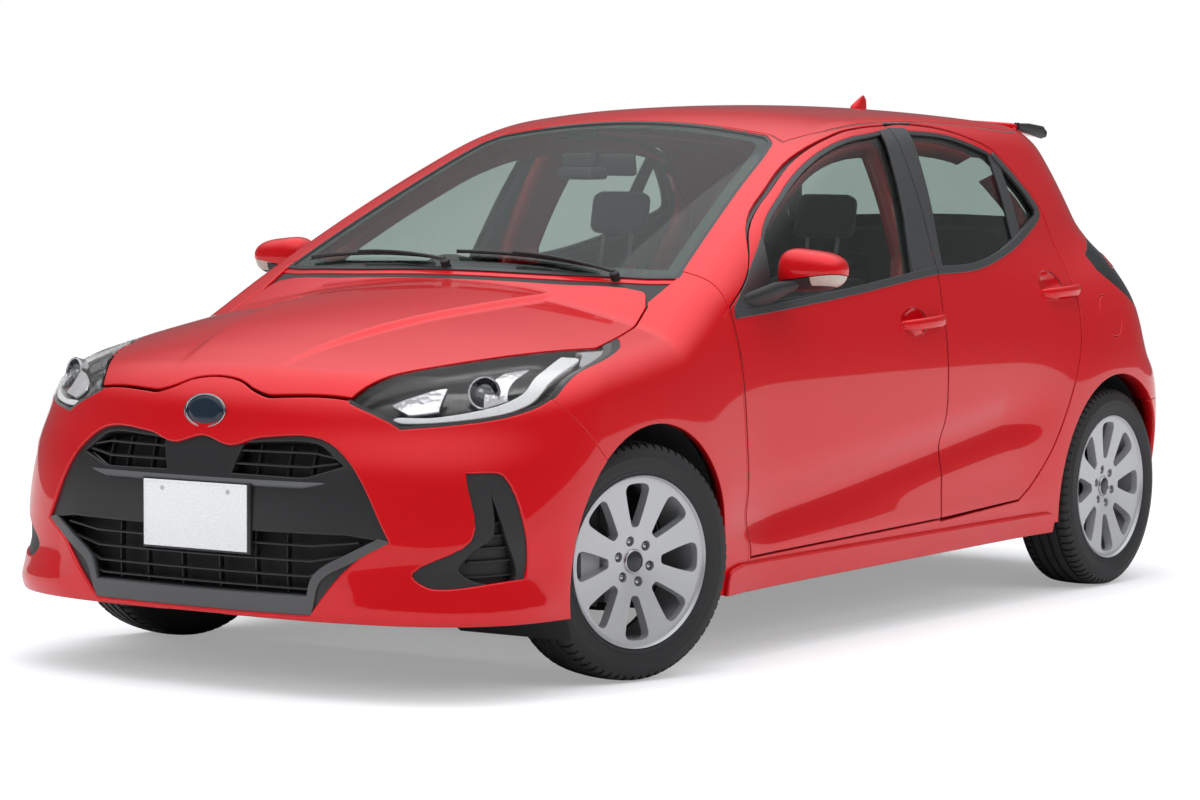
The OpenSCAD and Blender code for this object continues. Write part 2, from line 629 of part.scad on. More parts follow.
// Upright that carries a front wheel: boss, strut arm, pin lug and caliper.
module knuckle_shape(side) color(grey) kingpin_place(side, true) difference() {
    union() {
        translate([4, 0, 0]) rotate([0, 90, 0]) cylinder(r = 46, h = kingpin_offset + disc_inner - fit - 4, $fn = 48);
        translate([-18, -18, -112]) cube([36, 36, 90]);
        translate([-18, -18, 30]) cube([48, 36, 120]);
        intersection() {
            translate([-140, -18, 100]) cube([140, 36, 50]);
            cylinder(r = strut_offset - strut_radius - fit, h = 200, $fn = 64);
        }
        difference() {
            translate([kingpin_offset - 10, -158, -60]) cube([54, 60, 120]);
            translate([kingpin_offset + disc_inner - 3, 0, 0]) rotate([0, 90, 0])
                cylinder(r = disc_radius + 4, h = 28, $fn = 64);
        }
        translate([kingpin_offset - 16, -120, -25]) cube([22, 90, 50]);
    }
    translate([0, 0, -140]) cylinder(r = kingpin_radius + 0.05, h = 80, $fn = 32);
}
module knuckle_front_left() knuckle_shape(1);
module knuckle_front_right() knuckle_shape(-1);

tower_z = Z(770);
rail_z = Z(420);
arm_z = tyre_radius - 132;
module front_suspension() color(black) union() {
    translate([-X(440), axle_f - 110, arm_z]) cube([2 * X(440), 220, 40]);
    both_sides() {
        translate([X(350), axle_f - 40, arm_z + 39]) cube([X(70), 80, rail_z - fit - arm_z - 39]);
        translate([X(430), axle_f - 25, arm_z]) cube([kingpin_x - X(430), 50, 18]);
        translate([kingpin_x, axle_f, arm_z]) cylinder(r = 22, h = 18, $fn = 40);
        translate([kingpin_x, axle_f, arm_z]) cylinder(r = kingpin_radius, h = 68, $fn = 32);
    }
    both_sides() translate([kingpin_x - strut_offset, axle_f, tyre_radius + 90]) {
        cylinder(r = strut_radius, h = tower_z - fit - tyre_radius - 90, $fn = 40);
        translate([0, 0, 230]) cylinder(r = 60, h = tower_z - fit - tyre_radius - 320, $fn = 48);
    }
}

rear_arm_x = track_half - 180;
boot_z = Z(420);
module rear_axle() color(black) union() {
    translate([-rear_arm_x - 30, axle_r - 130, tyre_radius - 40]) cube([2 * rear_arm_x + 60, 70, 80]);
    both_sides() {
        translate([rear_arm_x, Y(1030) + fit, tyre_radius - 30]) cube([60, axle_r + 70 - Y(1030) - fit, 60]);
        translate([rear_arm_x + 50, axle_r, tyre_radius]) rotate([0, 90, 0])
            cylinder(r = 44, h = track_half + disc_inner - fit - rear_arm_x - 50, $fn = 48);
        translate([rear_arm_x + 30, axle_r + 20, tyre_radius + 29])
            cylinder(r = 48, h = boot_z - 20 - fit - tyre_radius - 29, $fn = 48);
    }
}

// -------------------------------------------------------------- under floor
floor_z = Z(205);
sill_x = X(672);
module floor_pan() color(grey) union() {
    translate([-sill_x, Y(-724), floor_z]) cube([2 * sill_x, Y(1030) - Y(-724), 24]);
    translate([-X(640), Y(1000), floor_z]) cube([X(1280), 30, boot_z - floor_z]);
    translate([-X(540), Y(1000), boot_z - 20]) cube([X(1080), Y(1880) - Y(1000), 20]);
    translate([-sill_x + 1, Y(-724), floor_z]) cube([2 * sill_x - 2, 24, Z(880) - floor_z]);
    both_sides() {
        translate([X(350), Y(-1800), rail_z]) cube([X(70), Y(-720) - Y(-1800), 90]);
        translate([X(400), axle_f - 70, rail_z]) cube([24, 140, tower_z + 20 - rail_z]);
        translate([X(400), axle_f - 70, tower_z]) cube([kingpin_x - strut_offset + 62 - X(400), 140, 20]);
        translate([X(600), Y(-640), Z(188)]) cube([X(60), Y(900) - Y(-640), floor_z - Z(188) + 1]);
    }
    translate([-X(560), Y(-1830), rail_z]) cube([X(1120), 40, 90]);
}

module exhaust() color(silver) union() {
    translate([X(120), Y(-600), floor_z - fit - 24]) rotate([-90, 0, 0])
        cylinder(r = 24, h = Y(1560) - Y(-600), $fn = 32);
    translate([X(-260), Y(1600), Z(225)]) rotate([0, 90, 0]) cylinder(r = 75, h = X(520), $fn = 48);
}

// --------------------------------------------------------------------- cabin
seat_z = Z(400);
module seat_solid(width, depth, back) union() {
    hull() {
        translate([-width / 2 + 25, 25, 0]) cylinder(r = 25, h = cushion_thickness, $fn = 24);
        translate([width / 2 - 25, 25, 0]) cylinder(r = 25, h = cushion_thickness, $fn = 24);
        translate([-width / 2, depth - 20, 0]) cube([width, 20, cushion_thickness - 20]);
    }
    translate([0, depth - 70, cushion_thickness - 30]) rotate([-20, 0, 0]) hull() {
        translate([-width / 2 + 10, 0, 0]) cube([width - 20, 105, 30]);
        translate([-width / 2 + 70, 15, back - 30]) cube([width - 140, 70, 30]);
    }
}
module front_seats() color(black) both_sides() translate([X(360), Y(-250), 0]) {
    translate([0, 0, seat_z]) seat_solid(seat_width, 500, 560);
    translate([0, 628, Z(1048)]) rotate([-12, 0, 0]) {
        translate([-120, 0, 30]) cube([240, 80, 150]);
        for (s = [-1, 1]) translate([s * 50, 40, -60]) cylinder(r = 6, h = 100, $fn = 24);
    }
    for (s = [-1, 1]) translate([s * 180 - 20, 60, floor_z + 24]) cube([40, 380, seat_z - floor_z - 24 + 1]);
}
module rear_seat() color(black) union() {
    translate([-X(560), Y(530), floor_z + 24 + fit]) cube([X(1120), Y(1000) - Y(530) - fit, Z(545) - floor_z - 24]);
    translate([-X(520), Y(990), boot_z + fit + 32]) rotate([-16, 0, 0]) cube([X(1040), 110, Z(480)]);
}
wheel_tilt = 64;                // of the steering wheel's plane, from level
module column_place() translate([driver_side * X(360), Y(-350), Z(870)]) rotate([-wheel_tilt, 0, 0]) children();
module dashboard() color(black) union() {
    hull() {
        translate([-X(600), Y(-700) + fit, Z(640)]) cube([X(1200), 60, Z(280)]);
        translate([-X(590), Y(-500), Z(700)]) cube([X(1180), 60, Z(180)]);
    }
    column_place() translate([0, 0, -170]) cylinder(r = 32, h = 150 - fit, $fn = 32);
}
module steering_wheel() color(black) column_place() union() {
    rotate_extrude($fn = 64) translate([steering_radius - 15, 0]) circle(r = 15, $fn = 24);
    translate([0, 0, -20]) cylinder(r = 62, h = 34, $fn = 40);
    for (a = [0, 180, 270]) rotate([0, 0, a]) translate([40, -16, -8]) cube([steering_radius - 60, 32, 14]);
}

// A point a little above the glass or tray, for a wiper lying there.
spindle_length = 60;
function on_screen(x, y, up) = [X(x), Y(y), Z(top_height(x, y)) + up];
module wiper_spindle(x, y) translate(on_screen(x, y, 8 - spindle_length)) cylinder(r = 12, h = spindle_length, $fn = 12);
module wiper_arm(pivot, heel, tip) {
    hull() {
        translate(on_screen(pivot[0], pivot[1], 14)) sphere(r = 12, $fn = 8);
        translate(on_screen((heel[0] + tip[0]) / 2, (heel[1] + tip[1]) / 2, 16)) sphere(r = 7, $fn = 8);
    }
    hull() for (p = [heel, tip]) translate(on_screen(p[0], p[1], 12)) sphere(r = 8, $fn = 8);
}
module wipers() color(black) meshed() {
    difference() {
        union() {
            wiper_spindle(-500, -876);
            wiper_spindle(60, -942);
        }
        body_form(3 + glass_thickness);
    }
    difference() {
        union() {
            wiper_arm([-500, -876], [-570, -845], [60, -870]);
            wiper_arm([60, -942], [110, -885], [560, -790]);
        }
        body_form(-fit);
    }
}

floor_pan();
body_sides();
roof_panel();
front_wings();
bonnet();
front_bumper();
grille();
number_plate();
headlamps();
fog_trims();
radiator();
engine();
windscreen();
scuttle();
front_door_left();
front_door_right();
rear_door_left();
rear_door_right();
front_glass_left();
front_glass_right();
rear_glass_left();
rear_glass_right();
door_hinges();
mirror_left();
mirror_right();
tailgate();
tailgate_glass();
spoiler();
rear_bumper();
tail_lamps();
fuel_flap();
roof_antenna();
tyre_front_left();
tyre_front_right();
tyre_rear_left();
tyre_rear_right();
wheel_front_left();
wheel_front_right();
wheel_rear_left();
wheel_rear_right();
knuckle_front_left();
knuckle_front_right();
front_suspension();
rear_axle();
exhaust();
front_seats();
rear_seat();
dashboard();
steering_wheel();
wipers();
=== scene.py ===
import math
import bpy
import bmesh
import numpy as np
from mathutils import Matrix, Vector


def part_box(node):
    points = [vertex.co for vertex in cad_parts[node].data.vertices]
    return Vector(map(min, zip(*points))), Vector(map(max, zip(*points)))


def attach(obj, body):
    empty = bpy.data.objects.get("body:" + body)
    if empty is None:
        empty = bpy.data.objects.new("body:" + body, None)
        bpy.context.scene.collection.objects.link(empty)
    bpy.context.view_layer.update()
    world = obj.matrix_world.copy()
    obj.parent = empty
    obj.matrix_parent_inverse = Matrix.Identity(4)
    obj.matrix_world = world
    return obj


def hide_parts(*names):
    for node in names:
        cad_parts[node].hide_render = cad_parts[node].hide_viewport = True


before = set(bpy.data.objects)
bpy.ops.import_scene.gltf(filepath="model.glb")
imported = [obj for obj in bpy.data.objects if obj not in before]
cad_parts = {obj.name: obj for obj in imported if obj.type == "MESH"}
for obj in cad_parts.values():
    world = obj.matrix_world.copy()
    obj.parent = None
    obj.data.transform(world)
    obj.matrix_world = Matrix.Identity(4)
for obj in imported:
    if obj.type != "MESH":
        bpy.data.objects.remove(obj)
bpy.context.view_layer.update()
scene = bpy.context.scene
scene.view_settings.view_transform = "Standard"

# ---------------------------------------------------------------- studio
# A pale floor under a white sky, one wide soft lamp overhead, one at the nose and one along the side.
# The camera stands front left of the car at chest height with a long lens.
camera_data = bpy.data.cameras.new("camera")
camera = bpy.data.objects.new("camera", camera_data)
scene.collection.objects.link(camera)
scene.camera = camera
camera_data.sensor_width = 36
camera_data.lens = 115.52
camera_data.shift_x = -0.0136
camera_data.shift_y = 0.0024
camera_data.clip_end = 200
camera.location = (6.1445, -9.2054, 1.3711)
around, above, tilt = math.radians(34.05), math.radians(3.98), math.radians(0.2)
camera.rotation_euler = (Matrix.Rotation(around, 3, "Z") @ Matrix.Rotation(math.pi / 2 - above, 3, "X")
                         @ Matrix.Rotation(tilt, 3, "Z")).to_euler()


def node_material(name):
    material = bpy.data.materials.new(name)
    material.use_nodes = True
    nodes = material.node_tree.nodes
    shader = nodes["Principled BSDF"]
    return material, nodes, material.node_tree.links, shader


floor_mesh = bmesh.new()
bmesh.ops.create_grid(floor_mesh, x_segments=2, y_segments=2, size=60)
floor_data = bpy.data.meshes.new("studio_floor")
floor_mesh.to_mesh(floor_data)
floor = bpy.data.objects.new("studio_floor", floor_data)
scene.collection.objects.link(floor)
floor_look = bpy.data.materials.new("studio_floor")
floor_look.use_nodes = True
nodes, links = floor_look.node_tree.nodes, floor_look.node_tree.links
nodes.clear()
rays = nodes.new("ShaderNodeLightPath")
where = nodes.new("ShaderNodeTexCoord")
distance = nodes.new("ShaderNodeVectorMath")
distance.operation = "LENGTH"
fade = nodes.new("ShaderNodeMapRange")
fade.interpolation_type = "SMOOTHSTEP"
fade.inputs["From Min"].default_value = 2.2
fade.inputs["From Max"].default_value = 8.0
matt = nodes.new("ShaderNodeBsdfDiffuse")
matt.inputs["Color"].default_value = (0.72, 0.72, 0.73, 1)
glow = nodes.new("ShaderNodeEmission")
glow.inputs["Color"].default_value = (1, 1, 1, 1)
glow_level = nodes.new("ShaderNodeMath")
glow_level.operation = "MULTIPLY"
glow_level.inputs[1].default_value = 0.32
both = nodes.new("ShaderNodeAddShader")
far_glow = nodes.new("ShaderNodeEmission")
far_glow.inputs["Color"].default_value = (1, 1, 1, 1)
blend = nodes.new("ShaderNodeMixShader")
out = nodes.new("ShaderNodeOutputMaterial")
links.new(rays.outputs["Is Camera Ray"], glow_level.inputs[0])
links.new(glow_level.outputs[0], glow.inputs["Strength"])
links.new(matt.outputs[0], both.inputs[0])
links.new(glow.outputs[0], both.inputs[1])
links.new(where.outputs["Object"], distance.inputs[0])
links.new(distance.outputs["Value"], fade.inputs["Value"])
links.new(fade.outputs["Result"], blend.inputs["Fac"])
links.new(both.outputs[0], blend.inputs[1])
links.new(far_glow.outputs[0], blend.inputs[2])
links.new(blend.outputs[0], out.inputs["Surface"])
floor_data.materials.append(floor_look)

sky = bpy.data.worlds.new("sky")
scene.world = sky
sky.use_nodes = True
nodes, links = sky.node_tree.nodes, sky.node_tree.links
nodes.clear()
rays = nodes.new("ShaderNodeLightPath")
plain = nodes.new("ShaderNodeBackground")
plain.inputs["Color"].default_value = (0.95, 0.97, 1, 1)
up = nodes.new("ShaderNodeTexCoord")
height = nodes.new("ShaderNodeSeparateXYZ")
rise = nodes.new("ShaderNodeMapRange")
rise.interpolation_type = "SMOOTHSTEP"
rise.inputs["From Min"].default_value = 0.3
rise.inputs["To Min"].default_value = 0.14
rise.inputs["To Max"].default_value = 1.7
links.new(up.outputs["Generated"], height.inputs[0])
links.new(height.outputs["Z"], rise.inputs["Value"])
links.new(rise.outputs["Result"], plain.inputs["Strength"])
white = nodes.new("ShaderNodeBackground")
white.inputs["Color"].default_value = (1, 1, 1, 1)
white.inputs["Strength"].default_value = 1
seen = nodes.new("ShaderNodeMath")
seen.operation = "MAXIMUM"
choose = nodes.new("ShaderNodeMixShader")
out = nodes.new("ShaderNodeOutputWorld")
links.new(rays.outputs["Is Camera Ray"], seen.inputs[0])
links.new(rays.outputs["Is Transmission Ray"], seen.inputs[1])
links.new(seen.outputs[0], choose.inputs["Fac"])
links.new(plain.outputs[0], choose.inputs[1])
links.new(white.outputs[0], choose.inputs[2])
links.new(choose.outputs[0], out.inputs["Surface"])


def soft_lamp(name, place, aim, width, length, power):
    data = bpy.data.lights.new(name, "AREA")
    data.shape = "RECTANGLE"
    data.size, data.size_y, data.energy = width, length, power
    lamp = bpy.data.objects.new(name, data)
    scene.collection.objects.link(lamp)
    lamp.location = place
    lamp.visible_glossy = False
    lamp.rotation_euler = (Vector(aim) - Vector(place)).to_track_quat("-Z", "Y").to_euler()


soft_lamp("lamp_overhead", (0, -0.4, 5.2), (0, -0.2, 0), 3.4, 6.5, 120)
soft_lamp("lamp_side", (6.5, 0.6, 2.9), (0.6, 0.2, 0.7), 6.0, 2.4, 120)
soft_lamp("lamp_nose", (-1.5, -7.5, 3.4), (0, -1.6, 0.6), 4.5, 2.2, 120)

# ------------------------------------------------------------- body form
# The body skin as the pressings follow it: a waist, lower doors with a hollow, a glasshouse that leans in,
# swellings over the wheels, a domed bonnet. Negative inside, in millimetres, +X the car's left, -Y the nose.
MM = 0.001
axle_front, axle_rear, wheel_radius = -1180, 1370, 303


def along(table, v):
    """A smooth line through a table of (place, value) knots."""
    x = np.array([p[0] for p in table], float)
    y = np.array([p[1] for p in table], float)
    slope = np.diff(y) / np.diff(x)
    t = np.concatenate([[slope[0]], (slope[:-1] + slope[1:]) / 2, [slope[-1]]])
    v = np.clip(v, x[0], x[-1])
    i = np.clip(np.searchsorted(x, v) - 1, 0, len(x) - 2)
    h = x[i + 1] - x[i]
    s = (v - x[i]) / h
    return ((2 * s**3 - 3 * s**2 + 1) * y[i] + (s**3 - 2 * s**2 + s) * h * t[i]
            + (3 * s**2 - 2 * s**3) * y[i + 1] + (s**3 - s**2) * h * t[i + 1])


def soft_max(a, b, k):
    h = np.maximum(k - np.abs(a - b), 0) / k
    return np.maximum(a, b) + h * h * k / 4


def soft_min(a, b, k):
    return -soft_max(-a, -b, k)


def ease(a, b, v):
    t = np.clip((v - a) / (b - a), 0, 1)
    return t * t * (3 - 2 * t)


def bell(v, w):
    return np.exp(-(v / w) ** 2)


nose_line = [(150, -1935), (230, -1960), (430, -1969), (560, -1958), (650, -1932), (730, -1912), (790, -1878),
             (900, -1796), (1100, -1616)]
tail_line = [(150, 1900), (250, 1945), (420, 1968), (560, 1970), (640, 1950), (700, 1905), (880, 1880),
             (980, 1842), (1060, 1792), (1340, 1670), (1450, 1610), (1500, 1580)]
corner_power = [(200, 3.1), (400, 2.6), (560, 2.4), (700, 2.2), (1000, 2.2)]
corner_length = [(200, 430), (400, 480), (560, 510), (700, 530), (1000, 540)]
waist_line = [(-2016, 822), (-1516, 826), (-716, 828), (584, 830), (1384, 836), (1984, 815)]
belt_line = [(-2016, 770), (-816, 775), (-316, 780), (284, 778), (784, 760), (1184, 728), (1484, 690),
             (1884, 630)]
shoulder_line = [(-2016, 80), (-1216, 62), (-716, 50), (284, 50), (884, 62), (1284, 78), (1984, 80)]
bonnet_line = [(-2016, 640), (-1946, 728), (-1893, 769), (-1766, 826), (-1616, 871), (-1416, 915),
               (-1176, 953),
               (-1001, 976), (-716, 1010)]


def side_half(y, z):
    waist = (along(waist_line, y) - 30 * (np.maximum(0, 660 - z) / 440) ** 2
             - along(shoulder_line, y) * (np.maximum(0, z - 660) / 290) ** 2.3)
    doors = ease(-916, -516, y) * (1 - ease(684, 1034, y))
    rising = 0.13 * (np.clip(y, -600, 700) + 500)
    lower = waist - doors * (21 * bell(z - 385 - rising, 62) - 12 * bell(z - 285, 60))
    over, under = soft_max(z - 950, 0, 24), soft_max(950 - z, 0, 24)
    upper = along(belt_line, y) - 0.22 * over - 0.0004 * over * over - 0.1 * under
    ring_front = np.hypot(y - axle_front, z - wheel_radius) - 300
    ring_rear = np.hypot(y - axle_rear, z - wheel_radius) - 300
    return soft_max(lower, upper, 40) + 20 * bell(ring_front, 190) + 18 * bell(ring_rear, 200)


def top_height(x, y):
    crease = 150 + 0.27 * (y + 1850)
    dome = 13 * ease(-1900, -1500, y) * (1 - ease(crease - 15, crease + 15, np.abs(x)))
    hood = along(bonnet_line, y) - 0.00019 * x * x + dome - 6 * ease(-1900, -1500, y)
    w = y + 976
    screen = 985 + 0.52 * w - 0.00007 * w * w - 0.00018 * x * x
    roof = 1462 - 0.00006 * (y - 634) ** 2 - 0.00013 * x * x
    return soft_max(hood, soft_min(screen, roof, 60), 8)


def skin(p):
    x, y, z = np.abs(p[:, 0]), p[:, 1], p[:, 2]
    half = side_half(y, z)
    power, length = along(corner_power, z), along(corner_length, z)
    front = np.maximum(0, (along(nose_line, z) + length - y) / length)
    rear = np.maximum(0, (y - (along(tail_line, z) - 430)) / 430)
    a = x / half
    rounded = np.where(y < 0, (a**power + front**power) ** (1 / power), (a**2.6 + rear**2.6) ** (1 / 2.6))
    cheek = ease(400, 500, x) * (1 - ease(-1640, -1540, y)) * (11 * bell(z - 320, 62) - 6 * bell(z - 222, 26))
    return soft_max((rounded - 1) * half + cheek, z - top_height(x, y), 70)


def outward(p):
    """Unit normals of the skin and its steepness at each point."""
    steps = np.eye(3) * 0.5
    g = np.stack([skin(p + s) - skin(p - s) for s in steps], 1)
    size = np.linalg.norm(g, axis=1, keepdims=True)
    return g / size, size


def onto_skin(p, depth=0):
    """Moves points near the skin onto it, or a depth below it."""
    for _ in range(4):
        n, size = outward(p)
        p = p - n * (skin(p)[:, None] / size)
    n, _ = outward(p)
    return p - n * depth


def positions(mesh):
    return np.array([v.co for v in mesh.verts], float) / MM


def place(mesh, p):
    for v, q in zip(mesh.verts, p * MM):
        v.co = q


# A closed fine-meshed block of the whole body, from which every panel's skin is cut.
block = bmesh.new()
faces_of_box = [((0, 1), 2, 1), ((0, 1), 2, -1), ((1, 2), 0, 1), ((1, 2), 0, -1), ((0, 2), 1, 1),
                ((0, 2), 1, -1)]
box_centre, box_half, cell = np.array([0, -15, 800.0]), np.array([860, 1970, 690.0]), 15
for (u, v), fixed, sign in faces_of_box:
    grid = bmesh.new()
    bmesh.ops.create_grid(grid, x_segments=int(2 * box_half[u] / cell),
                          y_segments=int(2 * box_half[v] / cell), size=1)
    for vert in grid.verts:
        p = [0, 0, 0]
        p[u], p[v], p[fixed] = vert.co[0] * box_half[u], vert.co[1] * box_half[v], sign * box_half[fixed]
        vert.co = p
    patch = bpy.data.meshes.new("patch")
    grid.to_mesh(patch)
    grid.free()
    block.from_mesh(patch)
    bpy.data.meshes.remove(patch)
bmesh.ops.remove_doubles(block, verts=block.verts, dist=0.5)
bmesh.ops.recalc_face_normals(block, faces=block.faces)
far = np.array([v.co for v in block.verts]) + box_centre
spine = np.stack([0 * far[:, 0], np.clip(far[:, 1], -1500, 1500), 580 + 0.02 * far[:, 1]], 1)
near_t, far_t = np.zeros(len(far)), np.full(len(far), 1.3)
for _ in range(26):
    t = (near_t + far_t) / 2
    inside = skin(spine + (far - spine) * t[:, None]) < 0
    inside &= (spine + (far - spine) * t[:, None])[:, 2] > 110
    near_t, far_t = np.where(inside, t, near_t), np.where(inside, far_t, t)
place(block, spine + (far - spine) * near_t[:, None])
block_data = bpy.data.meshes.new("block")
block.to_mesh(block_data)
block.free()
block_object = bpy.data.objects.new("block", block_data)
scene.collection.objects.link(block_object)


def smoothed(points, steps=5):
    """A smooth closed outline through points; a point with a third value is a sharp corner."""
    n, line = len(points), []
    for i in range(n):
        p0, p1, p2, p3 = (np.array(points[(i + k) % n][:2], float) for k in (-1, 0, 1, 2))
        c1, c2 = len(points[i]) > 2, len(points[(i + 1) % n]) > 2
        m1 = (p2 - p1) if c1 else (p2 - p0) * np.linalg.norm(p2 - p1) / (np.linalg.norm(p2 - p1)
                                                                         + np.linalg.norm(p1 - p0))
        m2 = (p2 - p1) if c2 else (p3 - p1) * np.linalg.norm(p2 - p1) / (np.linalg.norm(p3 - p2)
                                                                         + np.linalg.norm(p2 - p1))
        for s in np.arange(steps) / steps:
            line.append((2 * s**3 - 3 * s**2 + 1) * p1 + (s**3 - 2 * s**2 + s) * m1
                        + (3 * s**2 - 2 * s**3) * p2 + (s**3 - s**2) * m2)
    return np.array(line)


def grown(line, by):
    """An outline pushed outwards by a distance."""
    before, after = line - np.roll(line, 1, 0), np.roll(line, -1, 0) - line
    before /= np.linalg.norm(before, axis=1, keepdims=True) + 1e-9
    after /= np.linalg.norm(after, axis=1, keepdims=True) + 1e-9
    x, y = line[:, 0], line[:, 1]
    turn = np.sign(np.sum(x * np.roll(y, -1) - np.roll(x, -1) * y))
    n = np.stack([before[:, 1] + after[:, 1], -before[:, 0] - after[:, 0]], 1) * turn
    n /= np.maximum(np.linalg.norm(n, axis=1, keepdims=True) ** 2 / 2, 0.7)
    return line + n * by


def mirrored(points):
    return points + [(-p[0],) + tuple(p[1:]) for p in reversed(points) if abs(p[0]) > 0.5]


def prism(view, line, low, high):
    """A closed block on an outline drawn in the side, front or top view."""
    place_of = {"side": lambda p, d: (d, p[0], p[1]), "front": lambda p, d: (p[0], d, p[1]),
                "top": lambda p, d: (p[0], p[1], d)}[view]
    mesh = bmesh.new()
    base = mesh.faces.new([mesh.verts.new(Vector(place_of(p, low)) * MM) for p in line])
    lifted = bmesh.ops.extrude_face_region(mesh, geom=[base])["geom"]
    push = (Vector(place_of((0, 0), high)) - Vector(place_of((0, 0), low))) * MM
    bmesh.ops.translate(mesh, vec=push, verts=[v for v in lifted if isinstance(v, bmesh.types.BMVert)])
    bmesh.ops.triangulate(mesh, faces=mesh.faces)
    bmesh.ops.recalc_face_normals(mesh, faces=mesh.faces)
    return mesh


def arch(y, radius, inner=440):
    """A cylinder across the car at one side's wheel opening."""
    mesh = bmesh.new()
    bmesh.ops.create_cone(mesh, cap_ends=True, segments=96, radius1=radius * MM, radius2=radius * MM,
                          depth=(1300 - inner) * MM)
    bmesh.ops.rotate(mesh, matrix=Matrix.Rotation(math.pi / 2, 3, "Y"), verts=mesh.verts)
    bmesh.ops.translate(mesh, vec=Vector(((1300 + inner) / 2, y, wheel_radius)) * MM, verts=mesh.verts)
    bmesh.ops.triangulate(mesh, faces=mesh.faces)
    return mesh


def flipped(mesh):
    """The same block on the car's right."""
    bmesh.ops.scale(mesh, vec=(-1, 1, 1), verts=mesh.verts)
    bmesh.ops.reverse_faces(mesh, faces=mesh.faces)
    return mesh


def carved(keep, cut=()):
    """The part of the body skin inside every block of keep and outside every block of cut, as a sheet."""
    piece = bpy.data.objects.new("carving", block_data.copy())
    scene.collection.objects.link(piece)
    cutters = []
    for mesh, way in [(m, "INTERSECT") for m in keep] + [(m, "DIFFERENCE") for m in cut]:
        for f in mesh.faces:
            f.material_index = 1
        data = bpy.data.meshes.new("cutter")
        mesh.to_mesh(data)
        mesh.free()
        tool = bpy.data.objects.new("cutter", data)
        scene.collection.objects.link(tool)
        step = piece.modifiers.new("cut", "BOOLEAN")
        step.operation, step.object, step.solver, step.material_mode = way, tool, "MANIFOLD", "INDEX"
        cutters.append(tool)
    done = bpy.data.meshes.new_from_object(piece.evaluated_get(bpy.context.evaluated_depsgraph_get()))
    sheet = bmesh.new()
    sheet.from_mesh(done)
    bmesh.ops.delete(sheet, geom=[f for f in sheet.faces if f.material_index == 1], context="FACES")
    bmesh.ops.remove_doubles(sheet, verts=sheet.verts, dist=1.2 * MM)
    bmesh.ops.dissolve_degenerate(sheet, edges=sheet.edges, dist=0.2 * MM)
    for o in cutters + [piece]:
        bpy.data.meshes.remove(o.data)
    bpy.data.meshes.remove(done)
    place(sheet, onto_skin(positions(sheet)))
    return sheet


def piece(name, mesh, looks, body, slot, replaces=(), normals=None, twin=False, sharp=0):
    """Makes an object of a mesh.

    If twin is True, its mirror image is made on the right as well, and if it is "only", the mirror image alone.
    """
    data = bpy.data.meshes.new(name)
    mesh.to_mesh(data)
    mesh.free()
    for m in looks:
        data.materials.append(m)
    data.polygons.foreach_set("use_smooth", [True] * len(data.polygons))
    if sharp:
        data.set_sharp_from_angle(angle=math.radians(sharp))
    sides = [("_left", 1), ("_right", -1)] if twin is True else [("", -1 if twin else 1)]
    for side, sign in sides:
        one = data
        if sign < 0:
            one = data.copy()
            one.transform(Matrix.Scale(-1, 4, (1, 0, 0)))
            one.flip_normals()
        if normals is not None:
            one.normals_split_custom_set_from_vertices([(n[0] * sign, n[1], n[2]) for n in normals])
        made = bpy.data.objects.new(name + side, one)
        scene.collection.objects.link(made)
        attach(made, body.replace("left", "right") if sign < 0 else body)
        stand_for = [r.replace("left", "right") if sign < 0 else r for r in replaces]
        if stand_for:
            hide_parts(*stand_for)
    return made


def edge_ways(sheet, n):
    """For each border vertex, the way off the sheet in its own plane."""
    ways = {}
    for e in sheet.edges:
        if e.is_boundary:
            loop = e.link_loops[0]
            a, b = loop.vert, loop.link_loop_next.vert
            step = (b.co - a.co).normalized()
            for v in (a, b):
                ways.setdefault(v.index, Vector((0, 0, 0)))
                ways[v.index] += step.cross(Vector(n[v.index]))
    return {i: w * min(2 / max(w.length_squared, 1e-9), 1.8 / max(w.length, 1e-9)) for i, w in ways.items()}


